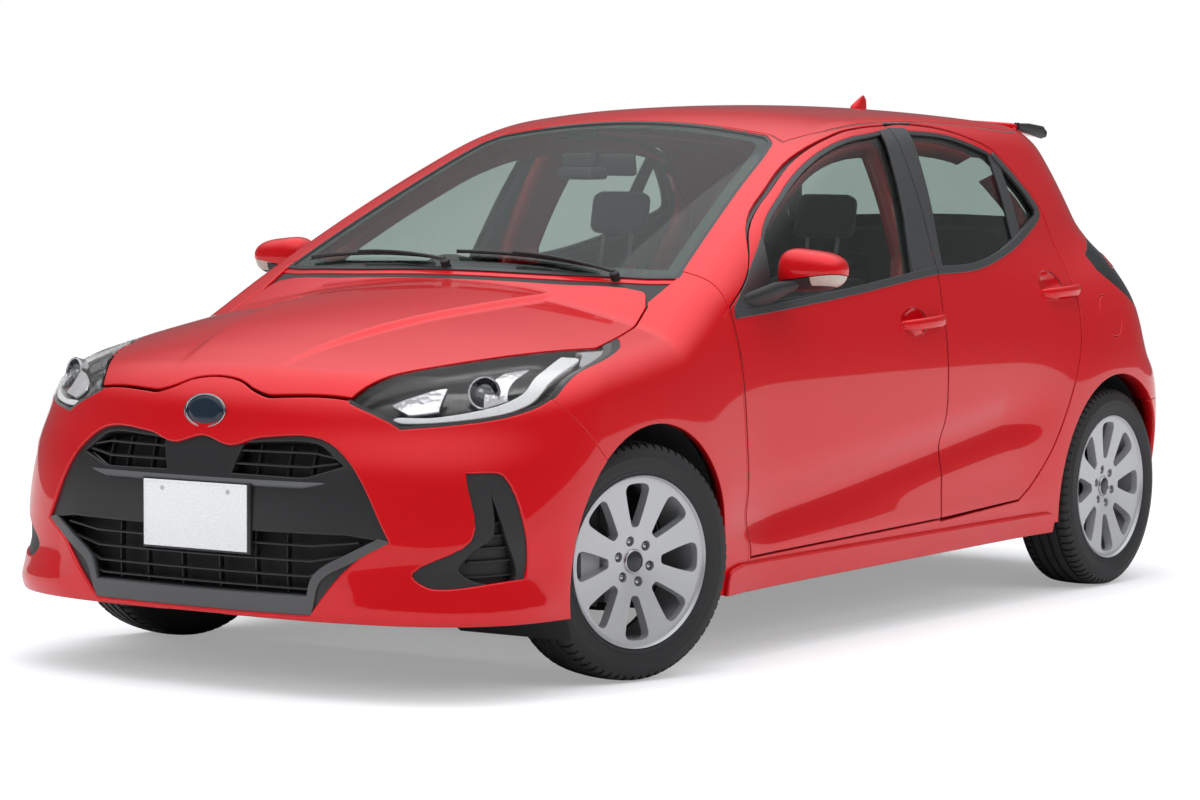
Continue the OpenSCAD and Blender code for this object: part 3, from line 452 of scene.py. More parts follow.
def shell(name, sheet, looks, body, slot, replaces=(), depth=20.0, edge=2.0, inset=0.0, inner=0, twin=False,
          hollow=False):
    """Thickens a sheet of skin inwards, with rounded edges, and makes it a piece; a hollow one has no front.

    The depth and the inset are numbers, or functions of the positions in millimetres.
    """
    sheet.verts.index_update()
    p = positions(sheet)
    n, _ = outward(p)
    place(sheet, p - n * (inset(p)[:, None] if callable(inset) else inset))
    deep = depth(p) if callable(depth) else np.full(len(p), depth)
    ways = edge_ways(sheet, n)
    outer = list(sheet.faces)
    normal = sheet.verts.layers.float_vector.new("normal")
    way = sheet.verts.layers.float_vector.new("way")
    wall = sheet.verts.layers.float.new("wall")
    if callable(inset):
        sheet.normal_update()
        n = np.array([v.normal for v in sheet.verts])
    for v in sheet.verts:
        v[normal] = n[v.index]
        v[way] = ways.get(v.index, (0, 0, 0))
        v[wall] = deep[v.index]
    for f in outer:
        f.material_index = 0
    border = [e for e in sheet.edges if e.is_boundary]
    copy = bmesh.ops.duplicate(sheet, geom=outer)
    back = [f for f in copy["geom"] if isinstance(f, bmesh.types.BMFace)]
    bmesh.ops.reverse_faces(sheet, faces=back)
    back_verts = {v for f in back for v in f.verts}
    for f in back:
        f.material_index = inner
    for v in back_verts:
        v.co += (v[way] * edge - v[normal] * v[wall]) * MM
    last = []
    for out_by, in_by in [(0.7, 0.3), (0.3, 0.7), (0, 0)]:
        made = bmesh.ops.extrude_edge_only(sheet, edges=border)["geom"]
        if out_by == 0:
            for f in [f for f in made if isinstance(f, bmesh.types.BMFace)]:
                f.material_index = inner
        border = [e for e in made if isinstance(e, bmesh.types.BMEdge) and e.is_boundary]
        last = [v for v in made if isinstance(v, bmesh.types.BMVert)]
        for v in last:
            v.co += (v[way] * out_by - v[normal] * in_by) * edge * MM
            if out_by == 0:
                v.co -= v[normal] * (v[wall] - edge) * MM
    bmesh.ops.remove_doubles(sheet, verts=list(back_verts) + last, dist=0.01 * MM)
    if hollow:
        bmesh.ops.delete(sheet, geom=outer, context="FACES")
        bmesh.ops.reverse_faces(sheet, faces=sheet.faces)
        return piece(name, sheet, looks, body, slot, replaces, None, twin)
    sheet.normal_update()
    front = {v for f in outer for v in f.verts}
    normals = [tuple(v[normal]) if v in front else tuple(v.normal) for v in sheet.verts]
    return piece(name, sheet, looks, body, slot, replaces, normals, twin)


def swept(stations, power=2.0, segments=28, across=(1, 0, 0), end=0.0):
    """A closed bar through stations of (place, half width, half height); power squares its section off."""
    mesh = bmesh.new()
    bmesh.ops.create_circle(mesh, cap_ends=True, segments=segments, radius=1)
    mesh.faces.ensure_lookup_table()
    top = mesh.faces[0]
    for k in range(len(stations) - 1):
        made = bmesh.ops.extrude_face_region(mesh, geom=[top])["geom"]
        if k:
            bmesh.ops.delete(mesh, geom=[top], context="FACES_ONLY")
        bmesh.ops.translate(mesh, vec=(0, 0, 1), verts=[v for v in made if isinstance(v, bmesh.types.BMVert)])
        top = [f for f in made if isinstance(f, bmesh.types.BMFace)][0]
    spine = np.array([s[0] for s in stations], float)
    ways = np.gradient(spine, axis=0)
    caps = [f for f in mesh.faces if len(f.verts) == segments]
    for v in mesh.verts:
        i = round(v.co.z)
        way = Vector(ways[i]).normalized()
        side = Vector(across)
        side = (side - way * side.dot(way)).normalized()
        a, b = [math.copysign(abs(q)**(2 / power), q) for q in v.co.xy]
        v.co = (Vector(spine[i]) + side * a * stations[i][1] + way.cross(side) * b * stations[i][2]) * MM
    if end:
        rim = list({e for f in caps for e in f.edges})
        bmesh.ops.bevel(mesh, geom=rim, offset=end * MM, segments=3, profile=0.5, affect="EDGES", material=-1)
    bmesh.ops.recalc_face_normals(mesh, faces=mesh.faces)
    return mesh


def turned(profile, steps=96, start=0.0, sweep=360.0):
    """A ring turned about the x axis from (place along x, radius) points, or part of one."""
    mesh = bmesh.new()
    verts = [mesh.verts.new(Vector((x, 0, r)) * MM) for x, r in profile]
    edges = [mesh.edges.new(pair) for pair in zip(verts, verts[1:])]
    bmesh.ops.rotate(mesh, matrix=Matrix.Rotation(math.radians(start), 3, "X"), verts=mesh.verts)
    bmesh.ops.spin(mesh, geom=verts + edges, cent=(0, 0, 0), axis=(1, 0, 0), angle=math.radians(sweep),
                   steps=steps,
                   use_merge=sweep > 359)
    bmesh.ops.remove_doubles(mesh, verts=mesh.verts, dist=0.01 * MM)
    bmesh.ops.recalc_face_normals(mesh, faces=mesh.faces)
    return mesh


def rounded_box(low, high, radius, segments=3):
    mesh = bmesh.new()
    bmesh.ops.create_cube(mesh, size=1)
    low, high = Vector(low), Vector(high)
    for v in mesh.verts:
        v.co = Vector([(low[k] + high[k]) / 2 + v.co[k] * (high[k] - low[k]) for k in range(3)]) * MM
    bmesh.ops.bevel(mesh, geom=mesh.edges[:], offset=radius * MM, segments=segments, profile=0.5,
                    affect="EDGES",
                    material=-1)
    return mesh


def moved(mesh, matrix):
    bmesh.ops.transform(mesh, matrix=matrix, verts=mesh.verts)
    return mesh


def joined(*meshes):
    whole = bmesh.new()
    for m in meshes:
        data = bpy.data.meshes.new("part")
        m.to_mesh(data)
        m.free()
        whole.from_mesh(data)
        bpy.data.meshes.remove(data)
    return whole


def boolean(base, cutters):
    """The base mesh less every cutter."""
    data = bpy.data.meshes.new("base")
    base.to_mesh(data)
    base.free()
    work = bpy.data.objects.new("base", data)
    scene.collection.objects.link(work)
    tools = []
    for c in cutters:
        tool_data = bpy.data.meshes.new("tool")
        c.to_mesh(tool_data)
        c.free()
        tool = bpy.data.objects.new("tool", tool_data)
        scene.collection.objects.link(tool)
        step = work.modifiers.new("cut", "BOOLEAN")
        step.operation, step.object, step.solver = "DIFFERENCE", tool, "EXACT"
        tools.append(tool)
    done = bpy.data.meshes.new_from_object(work.evaluated_get(bpy.context.evaluated_depsgraph_get()))
    mesh = bmesh.new()
    mesh.from_mesh(done)
    for o in tools + [work]:
        bpy.data.meshes.remove(o.data)
    bpy.data.meshes.remove(done)
    return mesh


# ------------------------------------------------------------------ paint
# Red metallic lacquer over pressed steel: a warm red coat with fine flake, a clear coat on top with a faint
# orange peel. Every painted panel takes it.
paint, nodes, links, shader = node_material("red_paint")
place_node = nodes.new("ShaderNodeTexCoord")
flake = nodes.new("ShaderNodeTexVoronoi")
flake.inputs["Scale"].default_value = 1800
ramp = nodes.new("ShaderNodeMix")
ramp.data_type = "RGBA"
ramp.inputs["A"].default_value = (0.60, 0.002, 0.006, 1)
ramp.inputs["B"].default_value = (0.72, 0.004, 0.010, 1)
peel = nodes.new("ShaderNodeTexNoise")
peel.inputs["Scale"].default_value = 260
peel.inputs["Detail"].default_value = 2
lift = nodes.new("ShaderNodeBump")
lift.inputs["Strength"].default_value = 0.012
lift.inputs["Distance"].default_value = 0.0006
links.new(place_node.outputs["Object"], flake.inputs["Vector"])
links.new(place_node.outputs["Object"], peel.inputs["Vector"])
links.new(flake.outputs["Color"], ramp.inputs["Factor"])
links.new(ramp.outputs["Result"], shader.inputs["Base Color"])
links.new(peel.outputs["Fac"], lift.inputs["Height"])
links.new(lift.outputs["Normal"], shader.inputs["Coat Normal"])
shader.inputs["Metallic"].default_value = 0.35
shader.inputs["Specular IOR Level"].default_value = 0.1
shader.inputs["Roughness"].default_value = 0.42
shader.inputs["Coat Weight"].default_value = 0.8
shader.inputs["Coat Roughness"].default_value = 0.04


def plastic(name, colour, rough, grain=900, bump=0.08):
    material, nodes, links, shader = node_material(name)
    where = nodes.new("ShaderNodeTexCoord")
    noise = nodes.new("ShaderNodeTexNoise")
    noise.inputs["Scale"].default_value = grain
    noise.inputs["Detail"].default_value = 3
    tone = nodes.new("ShaderNodeMix")
    tone.data_type = "RGBA"
    tone.inputs["A"].default_value = tuple(c * 0.8 for c in colour) + (1,)
    tone.inputs["B"].default_value = tuple(min(1, c * 1.25) for c in colour) + (1,)
    lift = nodes.new("ShaderNodeBump")
    lift.inputs["Strength"].default_value = bump
    lift.inputs["Distance"].default_value = 0.0005
    links.new(where.outputs["Object"], noise.inputs["Vector"])
    links.new(noise.outputs["Fac"], tone.inputs["Factor"])
    links.new(tone.outputs["Result"], shader.inputs["Base Color"])
    links.new(noise.outputs["Fac"], lift.inputs["Height"])
    links.new(lift.outputs["Normal"], shader.inputs["Normal"])
    shader.inputs["Roughness"].default_value = rough
    return material


grained_black = plastic("grained_black", (0.018, 0.018, 0.019), 0.5)
satin_black = plastic("satin_black", (0.022, 0.023, 0.025), 0.3, 500, 0.03)
lining = plastic("roof_lining", (0.42, 0.41, 0.39), 0.9, 700, 0.1)
dark_inside = plastic("dark_inside", (0.006, 0.006, 0.007), 0.7)
clear_glass, nodes, links, shader = node_material("tinted_glass")
shader.inputs["Base Color"].default_value = (0.50, 0.57, 0.545, 1)
shader.inputs["Roughness"].default_value = 0.0
shader.inputs["IOR"].default_value = 1.05
shader.inputs["Transmission Weight"].default_value = 1
shader.inputs["Coat Weight"].default_value = 0.45
shader.inputs["Coat Roughness"].default_value = 0.0

# ------------------------------------------------------------ panel outlines
shut = 5.0
lip = 2.0
C = 1
front_door_edge = [(-690, 268, C), (-718, 450), (-736, 630), (-748, 822), (-756, 925, C), (-640, 1002),
                   (-515, 1121),
                   (-312, 1229), (-85, 1328), (115, 1379), (260, 1396), (405, 1403, C), (410, 1392, C),
                   (362, 960, C),
                   (346, 800), (338, 600), (330, 440), (322, 288, C)]
rear_door_edge = [(322, 288, C), (330, 440), (338, 600), (346, 800), (362, 960, C), (410, 1392, C),
                  (412, 1403, C),
                  (500, 1407), (718, 1394), (900, 1361), (1008, 1327), (1118, 1240), (1190, 1160),
                  (1205, 1060),
                  (1203, 940), (1165, 813), (1115, 692), (1040, 562), (958, 443), (860, 350), (780, 306, C)]
front_window = [(-604, 930, C), (-145, 954), (222, 985, C), (352, 1377, C), (340, 1378, C), (119, 1355),
                (-77, 1306),
                (-300, 1210), (-501, 1090)]
rear_window = [(402, 996, C), (603, 1002), (825, 1040), (1149, 1138, C), (1152, 1157), (1091, 1225),
               (988, 1306),
               (886, 1339), (714, 1371), (500, 1382, C)]
bonnet_edge = [(0, -1868), (70, -1874), (130, -1890), (190, -1893), (399, -1850, C), (531, -1627),
               (709, -1254, C),
               (706, -1232), (690, -1120), (648, -938, C), (600, -885), (350, -940), (0, -970)]
screen_edge = [(0, -915), (300, -895), (560, -830), (651, -790, C), (620, -640), (560, -360), (500, -90),
               (455, -40, C),
               (0, -22)]
roof_edge = [(0, -14), (460, -30, C), (520, -60, C), (566, 90), (560, 420), (552, 800), (540, 1200),
             (520, 1318, C),
             (0, 1318)]
lamp_edge = [(399, 722, C), (396, 745), (531, 838), (668, 862, C), (690, 857), (716, 847), (748, 830),
             (767, 808),
             (772, 786), (781, 758), (784, 732), (766, 707), (722, 687), (634, 672), (532, 662, C),
             (501, 680)]
grille_edge = [(0, 630), (90, 610), (180, 632), (345, 634), (450, 560), (545, 392, C), (460, 340),
               (340, 206, C), (0, 204)]
fog_edge = [(690, 560, C), (752, 552), (790, 420), (785, 300, C), (650, 283), (600, 320), (715, 400)]
tailgate_edge = [(0, 560), (430, 560), (560, 640), (640, 860), (600, 1060), (540, 1300), (505, 1440, C),
                 (0, 1470)]
tail_window = [(0, 1085), (470, 1075, C), (500, 1110), (455, 1330, C), (0, 1350)]
tail_lamp_edge = [(1400, 1010, C), (1420, 960), (1600, 850, C), (1960, 850, C), (1960, 1000, C), (1720, 1000),
                  (1560, 1060)]
nose_zone = [(-2100, 193, C), (-2100, 900, C), (-1894, 800, C), (-1562, 735, C), (-1400, 575, C),
             (-1300, 300, C),
             (-1300, 188, C)]
wing_zone = [(-2100, 1100, C), (-2100, 900, C), (-1894, 800, C), (-1562, 735, C), (-1400, 575, C),
             (-1300, 300, C),
             (-1300, 185, C), (-820, 178, C), (-764, 178, C), (-702, 262, C), (-728, 450), (-746, 630),
             (-758, 822),
             (-766, 925, C), (-764, 1100, C)]
hatch_zone = [(1330, 1600, C), (1335, 1440, C), (1530, 1300), (1620, 1060), (1660, 860), (1700, 540, C),
              (2100, 540, C), (2100, 1600, C)]
rear_zone = [(1560, 100, C), (1560, 560, C), (2100, 560, C), (2100, 100, C)]


def plan(points, by=0.0, low=400, high=1600):
    return prism("top", grown(smoothed(mirrored(points)), by), low, high)


def face_on(points, by=0.0, low=-2200, high=-1100):
    return prism("front", grown(smoothed(points), by), low, high)


def side_on(points, by=0.0, low=300, high=1000):
    return prism("side", grown(smoothed(points), by), low, high)


half_gap = shut / 2 + lip

# ----------------------------------------------------------------- bonnet
# One steel pressing with a folded edge, hinged at the back; a low dome with a crease along each side.
shell("bonnet_panel", carved([plan(bonnet_edge, -lip, 600, 1100)]), [paint], "bonnet_lid", "paint",
      ["bonnet"],
      depth=18)

# ------------------------------------------------------------ front wings
# Steel pressings between bonnet, bumper and front doors, each with a rolled lip round the wheel arch.
opening_radius = 347
cowl_zone = [(0, -1030, C), (400, -1000, C), (640, -945, C), (652, -800, C), (300, -868), (0, -888)]
wing = carved([side_on(wing_zone, -lip)],
              [plan(bonnet_edge, shut + lip), plan(screen_edge, shut + lip), plan(cowl_zone, 2),
               face_on(lamp_edge, 3 + lip),
               arch(axle_front, opening_radius + lip)])
shell("front_wing", wing, [paint], "root", "paint", ["front_wings"], depth=20, twin=True)

# ----------------------------------------------------------- front bumper
# One moulding in body colour from bonnet to chin, with a wide mouth for the grille and a slot at each corner.
bumper = carved([prism("side", grown(smoothed(nose_zone), -lip - 1), -1000, 1000)],
                [plan(bonnet_edge, shut + lip), face_on(lamp_edge, 3 + lip),
                 flipped(face_on(lamp_edge, 3 + lip)),
                 face_on(mirrored(grille_edge), 5), face_on(fog_edge, 4), flipped(face_on(fog_edge, 4)),
                 arch(axle_front, opening_radius + lip), flipped(arch(axle_front, opening_radius + lip))])
shell("bumper_front", bumper, [paint], "root", "paint", ["front_bumper"], depth=34, edge=5)

# ------------------------------------------------------------------- roof
# A pressed steel roof with a rubber strip in the channel along each side.
shell("roof_skin", carved([plan(roof_edge, -5, 1200, 1500)]), [paint, lining], "root", "paint",
      ["roof_panel"],
      depth=22, inner=1)
strip = carved([plan(roof_edge, 1.5, 1200, 1500)], [plan(roof_edge, -3.5, 1200, 1500)])
shell("roof_strip", strip, [satin_black], "root", "black_plastic", depth=6, edge=1.5, inset=4)

# ------------------------------------------------------------- body sides
# The one-piece side pressing: front pillar, sill, rear quarter and the frames of both door openings.
side_zone = [(-790, 176, C), (-790, 1100, C), (-600, 1250, C), (-312, 1400, C), (-60, 1500, C),
             (1700, 1500, C), (1990, 900, C), (1990, 560, C), (1720, 560, C), (1720, 236, C), (980, 222, C)]
flap_place = (1370, 826)


def disc(y, z, radius):
    mesh = bmesh.new()
    bmesh.ops.create_cone(mesh, cap_ends=True, segments=64, radius1=radius * MM, radius2=radius * MM,
                          depth=700 * MM)
    bmesh.ops.rotate(mesh, matrix=Matrix.Rotation(math.pi / 2, 3, "Y"), verts=mesh.verts)
    bmesh.ops.translate(mesh, vec=Vector((750, y, z)) * MM, verts=mesh.verts)
    bmesh.ops.triangulate(mesh, faces=mesh.faces)
    return mesh


def hatch_opening(by):
    """The block that the tailgate fills: its outline seen from behind, through the depth of the tail."""
    return prism("front", grown(smoothed(mirrored(tailgate_edge)), by), 1330, 2200)


pillar_cut = [(p[0], p[1] - 3 if p[1] > 990 else p[1]) + tuple(p[2:]) for p in front_door_edge]
corner_room = [(p[0], p[1] - 5 if p[1] < 300 else p[1]) + tuple(p[2:]) for p in rear_door_edge]
for name, holes, twin in [("body_side_left", [disc(*flap_place, 62 + 1.5 + lip)], False),
                          ("body_side_right", [], "only")]:
    side = carved([prism("side", smoothed(side_zone), 300, 1000)],
                  [side_on(wing_zone, lip + 1), plan(roof_edge, 2 + lip), plan(screen_edge, 2 + lip),
                   side_on(pillar_cut, half_gap), side_on(corner_room, half_gap),
                   arch(axle_rear, opening_radius + lip, 300), side_on(tail_lamp_edge, 2 + lip),
                   side_on(rear_zone, lip), hatch_opening(shut + lip)] + holes)
    shell(name, side, [paint], "root", "paint", ["body_sides"], depth=46, twin=twin)
pillar = carved([prism("side", smoothed(side_zone), 300, 1000), hatch_opening(shut + lip + 3)],
                [prism("side", grown(smoothed(hatch_zone), shut + lip), -1000, 1000),
                 plan(roof_edge, 2 + lip),
                 side_on(tail_lamp_edge, 2 + lip), side_on(rear_zone, lip)])
shell("rear_pillar", pillar, [paint], "root", "paint", depth=40, twin=True)
flange = carved([plan(screen_edge, 22)], [plan(screen_edge, -2), side_on(front_door_edge, half_gap)])
shell("pillar_flange", flange, [paint], "root", "paint", depth=8, edge=2, inset=6)
weatherstrip = carved([side_on(front_door_edge, 14)],
                      [side_on(front_door_edge, -1.5), side_on(rear_door_edge, -1.5),
                       plan(screen_edge, 2)])
shell("door_weatherstrip", weatherstrip, [satin_black], "root", "black_plastic", depth=5, edge=1.5, inset=11,
      twin=True)
skirt_zone = [(-800, 182, C), (-800, 236), (-740, 252, C), (960, 252, C), (985, 236), (985, 200, C)]
shell("sill_skirt", carved([side_on(skirt_zone)]), [paint], "root", "paint", depth=16, edge=5, inset=-13,
      twin=True)
shell("fuel_door", carved([disc(*flap_place, 62 - lip)]), [paint], "flap", "paint", ["fuel_flap"], depth=12)

# Behind the doors the body has welded ring frames with the middle pillar between them.
front_opening = [(-640, 330, C), (-664, 860), (-604, 925, C), (-501, 1096), (-300, 1212), (-77, 1308),
                 (119, 1357),
                 (344, 1380, C), (300, 1000), (268, 330, C)]
rear_opening = [(400, 340, C), (425, 990), (496, 1384, C), (714, 1373), (886, 1341), (990, 1308),
                (1093, 1227),
                (1152, 1158), (1130, 1040), (1105, 850), (985, 620), (850, 430), (750, 362, C)]
ring_zone = [(-700, 262, C), (-735, 900, C), (-520, 1120), (-300, 1225), (-60, 1330), (130, 1375),
             (600, 1392),
             (900, 1345), (1180, 1150), (1190, 900), (1120, 700), (880, 380), (780, 290, C)]
frames = carved([side_on(ring_zone)], [side_on(front_opening), side_on(rear_opening)])
hinge_line = {"front": -698, "rear": 376}
clear_of_hinge = lambda p: 44 + 36 * ease(1060, 980, p[:, 2]) * np.maximum(bell(p[:, 1] + 698, 80),
                                                                           bell(p[:, 1] - 376, 80))
shell("door_ring_frames", frames, [paint], "root", "paint", depth=52, inset=clear_of_hinge, twin=True)

# ------------------------------------------------------------------ doors
# Pressed steel leaves with a thin window frame, a moulded trim inside, a scooped cup behind each handle.
seal = 6
cup_front, cup_rear = (178, 853), (1052, 930)


def dish(centre, long, tall):
    mesh = disc(*centre, 1)
    shift = Matrix.Translation(-Vector((0, *centre)) * MM)
    bmesh.ops.scale(mesh, vec=(1, long, tall), space=shift, verts=mesh.verts)
    return mesh


door_trim = plastic("door_trim", (0.06, 0.06, 0.062), 0.6)
for which, outline, window, cup in [("front", front_door_edge, front_window, cup_front),
                                    ("rear", rear_door_edge, rear_window, cup_rear)]:
    leaf = carved([side_on(outline, -half_gap)], [side_on(window, seal + lip), dish(cup, 76, 43)])
    shell(which + "_door_skin", leaf, [paint, door_trim], which + "_door_left_leaf", "paint",
          [which + "_door_left"], inner=1, twin=True,
          depth=lambda p: 9 + 27 * ease(hinge_line[which] + 55, hinge_line[which] + 100, p[:, 1]))
    scoop = carved([dish(cup, 82, 49)])
    bmesh.ops.subdivide_edges(scoop, edges=scoop.edges, cuts=3, use_grid_fill=True)
    place(scoop, onto_skin(positions(scoop)))
    shell(which + "_handle_cup", scoop, [paint], which + "_door_left_leaf", "paint", depth=3, edge=1,
          twin=True,
          inset=lambda p: 3 + 24
          * np.clip(1 - ((p[:, 1] - cup[0]) / 75)**2 - ((p[:, 2] - cup[1]) / 42)**2, 0, 1)**0.8)

# ------------------------------------------------------------ side glass
# Tempered panes sitting just inside rubber runs; the rear door's pane ends at a bar before its fixed corner.
glass_look = clear_glass
shell("front_door_pane", carved([side_on(front_window, seal)]), [glass_look], "front_door_left_leaf", "glass",
      ["front_glass_left"], depth=4, edge=1, inset=9, twin=True)
shell("rear_door_pane", carved([side_on(rear_window, seal)]), [glass_look], "rear_door_left_leaf", "glass",
      ["rear_glass_left"], depth=4, edge=1, inset=9, twin=True)
trim_black = plastic("trim_black", (0.045, 0.046, 0.048), 0.34, 600, 0.04)
pillar_front = [(228, 990, C), (371, 1001, C), (412, 1392, C), (345, 1386, C)]
pillar_rear = [(371, 999, C), (404, 1001, C), (506, 1392, C), (405, 1394, C)]
sail = [(-742, 900, C), (-640, 905), (-552, 912, C), (-524, 1040), (-498, 1100, C), (-640, 1000),
        (-736, 925, C)]
belt_front = [(-735, 897, C), (-560, 907), (-145, 937), (222, 970), (366, 981, C), (368, 1000, C), (222, 988),
              (-145, 955), (-560, 925), (-735, 917, C)]
belt_rear = [(366, 981, C), (603, 986), (830, 1024), (1020, 1076), (1162, 1131), (1166, 1160), (1096, 1233),
             (992, 1320), (981, 1309), (1082, 1222), (1140, 1152), (1130, 1132), (1014, 1094), (825, 1041),
             (603, 1004), (368, 1000, C)]
quarter_bar = [(926, 1064, C), (990, 1082, C), (1014, 1296, C), (966, 1324, C)]
for name, outline, body, out_by, deep in [
        ("front_pillar_facing", pillar_front, "front", 1.5, 9),
        ("rear_pillar_facing", pillar_rear, "rear", 1.5, 9),
        ("mirror_sail", sail, "front", 2, 9), ("belt_strip_front", belt_front, "front", 4, 13),
        ("belt_strip_rear", belt_rear, "rear", 4, 13), ("quarter_bar", quarter_bar, "rear", -3, 9)]:
    edge_line = front_door_edge if body == "front" else rear_door_edge
    shell(name, carved([side_on(outline), side_on(edge_line, -half_gap)]), [trim_black],
          body + "_door_left_leaf",
          "black_plastic", depth=deep, edge=2, inset=-out_by, twin=True)
for which, window in [("front", front_window), ("rear", rear_window)]:
    ring = carved([side_on(window, seal + 2.5)], [side_on(window, -1)])
    shell(which + "_window_seal", ring, [satin_black], which + "_door_left_leaf", "black_plastic", depth=12,
          edge=2, inset=1.5, twin=True)

# ------------------------------------------------------------- windscreen
# Laminated glass bonded on a black ceramic border, with a finisher along each side.
shell("windscreen_pane", carved([plan(screen_edge, -1)]), [glass_look], "root", "glass", ["windscreen"],
      depth=4,
      edge=1, inset=3)
border = carved([plan(screen_edge, -1)], [plan(screen_edge, -42)])
shell("windscreen_border", border, [satin_black], "root", "glass", depth=1.5, edge=0.6, inset=8)
side_finisher = carved([plan(screen_edge, 5)], [plan(screen_edge, -7)])
shell("windscreen_finisher", side_finisher, [satin_black], "root", "black_plastic", depth=5, edge=1.5,
      inset=2)
# ---------------------------------------------------------------- tailgate
# A one-piece outer skin with the rear window set in a black border.
hatch_skin = carved([hatch_opening(-lip), prism("side", smoothed(hatch_zone), -1000, 1000)],
                    [prism("front", grown(smoothed(mirrored(tail_window)), 6), 1400, 2200),
                     side_on(tail_lamp_edge, 2 + lip), flipped(side_on(tail_lamp_edge, 2 + lip))])
shell("tailgate_skin", hatch_skin, [paint, door_trim], "hatch", "paint", ["tailgate"], depth=30, inner=1)
rear_pane = carved([prism("front", grown(smoothed(mirrored(tail_window)), 3), 1400, 2200)])
shell("tailgate_pane", rear_pane, [glass_look], "hatch", "glass", ["tailgate_glass"], depth=4, edge=1,
      inset=3)
rear_border = carved([prism("front", grown(smoothed(mirrored(tail_window)), 3), 1400, 2200)],
                     [prism("front", grown(smoothed(mirrored(tail_window)), -38), 1400, 2200)])
shell("tailgate_pane_border", rear_border, [satin_black], "hatch", "glass", depth=1.5, edge=0.6, inset=8)

# -------------------------------------------------------------- tail lamps
# A smoked black housing wrapping the corner with a red band through it, flush with the side.
tail_black = plastic("tail_black", (0.02, 0.021, 0.023), 0.08, 300, 0.0)
lamp_red = plastic("lamp_red", (0.32, 0.004, 0.01), 0.06, 240, 0.0)
housing = carved([side_on(tail_lamp_edge)])
shell("tail_lamp_housing", housing, [tail_black], "root", "lamp_red", ["tail_lamps"], depth=26, edge=2.5,
      inset=0.5,
      twin=True)
red_band = [(1545, 968, C), (1640, 962, C), (1700, 880, C), (1960, 870, C), (1960, 1010, C), (1700, 1018),
            (1590, 1000)]
shell("tail_lamp_band", carved([side_on(red_band), side_on(tail_lamp_edge, -5)]), [lamp_red], "root",
      "lamp_red",
      depth=6, edge=2, inset=-2, twin=True)

# ------------------------------------------------------------- rear bumper
# The painted cover with a grained black lower insert.
lower_insert = [(0, 420), (330, 420), (520, 350), (640, 300, C), (640, 150, C), (0, 150)]
bumper_zone = [(p[0], max(p[1], 182)) + tuple(p[2:]) for p in rear_zone]
rear_cover = carved([prism("side", grown(smoothed(bumper_zone), -lip - 1), -1000, 1000)],
                    [arch(axle_rear, opening_radius + lip, 300),
                     flipped(arch(axle_rear, opening_radius + lip, 300)),
                     prism("front", grown(smoothed(mirrored(lower_insert)), 2), 1700, 2200)])
shell("bumper_rear", rear_cover, [paint], "root", "paint", ["rear_bumper"], depth=34, edge=4)
insert = carved([prism("front", grown(smoothed(mirrored(lower_insert)), -1), 1700, 2200)])
shell("bumper_rear_insert", insert, [grained_black], "root", "black_plastic", depth=20, edge=3, inset=6)
# ------------------------------------------------------------- headlamps
# A clear cover over a black bowl that holds a projector in a ring, a faceted reflector, a chrome wing,
# a broad white light strip that curls up at its outer end, and a grey bezel along the top.
chrome, nodes, links, shader = node_material("lamp_chrome")
where = nodes.new("ShaderNodeTexCoord")
facet = nodes.new("ShaderNodeTexVoronoi")
facet.inputs["Scale"].default_value = 70
lift = nodes.new("ShaderNodeBump")
lift.inputs["Strength"].default_value = 0.25
lift.inputs["Distance"].default_value = 0.004
links.new(where.outputs["Object"], facet.inputs["Vector"])
links.new(facet.outputs["Distance"], lift.inputs["Height"])
links.new(lift.outputs["Normal"], shader.inputs["Normal"])
shader.inputs["Base Color"].default_value = (0.42, 0.42, 0.44, 1)
shader.inputs["Metallic"].default_value = 1
shader.inputs["Roughness"].default_value = 0.16
strip_white = plastic("strip_white", (0.5, 0.51, 0.525), 0.2, 300, 0.0)
bezel_grey = plastic("bezel_grey", (0.2, 0.205, 0.21), 0.22, 400, 0.01)
bowl_black = plastic("bowl_black", (0.01, 0.01, 0.011), 0.18, 400, 0.01)
lens_clear, nodes, links, shader = node_material("clear_lens")
shader.inputs["Base Color"].default_value = (1, 1, 1, 1)
shader.inputs["Roughness"].default_value = 0.0
shader.inputs["IOR"].default_value = 1.02
shader.inputs["Transmission Weight"].default_value = 1
shader.inputs["Coat Weight"].default_value = 0.25
shader.inputs["Coat Roughness"].default_value = 0.0


def lamp_area(by=0.0):
    return carved([face_on(lamp_edge, by)], [plan(bonnet_edge, shut + 3)])


shell("headlamp_cover", lamp_area(-0.5), [lens_clear], "root", "lamp_lens", ["headlamps"], depth=3, edge=1.5,
      inset=0.5,
      twin=True)
shell("headlamp_bowl", lamp_area(-1), [bowl_black], "root", "lamp_lens", depth=46, edge=1, inset=4, twin=True,
      hollow=True)
lamp_seal = carved([face_on(lamp_edge, 5)], [face_on(lamp_edge, -5), plan(bonnet_edge, shut - 2)])
shell("headlamp_seal", lamp_seal, [bowl_black], "root", "lamp_lens", depth=5, edge=1.5, inset=2.5, twin=True)
bezel_line = [(380, 742, C), (531, 812), (640, 829), (702, 833), (755, 806), (800, 790, C), (800, 900, C),
              (380, 900, C)]
shell("headlamp_bezel", carved([face_on(lamp_edge, -2), face_on(bezel_line)], [plan(bonnet_edge, shut + 12)]),
      [bezel_grey], "root", "lamp_lens", depth=16, edge=3, inset=4.5, twin=True)
strip_line = [(512, 685, C), (532, 679), (612, 682), (720, 700), (758, 726), (758, 762), (728, 818),
              (690, 826, C),
              (720, 790), (739, 748), (708, 716), (608, 690), (522, 688, C)]
shell("headlamp_light_strip", carved([face_on(lamp_edge, -3), face_on(strip_line)]), [strip_white], "root",
      "lamp_lens",
      depth=20, edge=3, inset=6.5, twin=True)
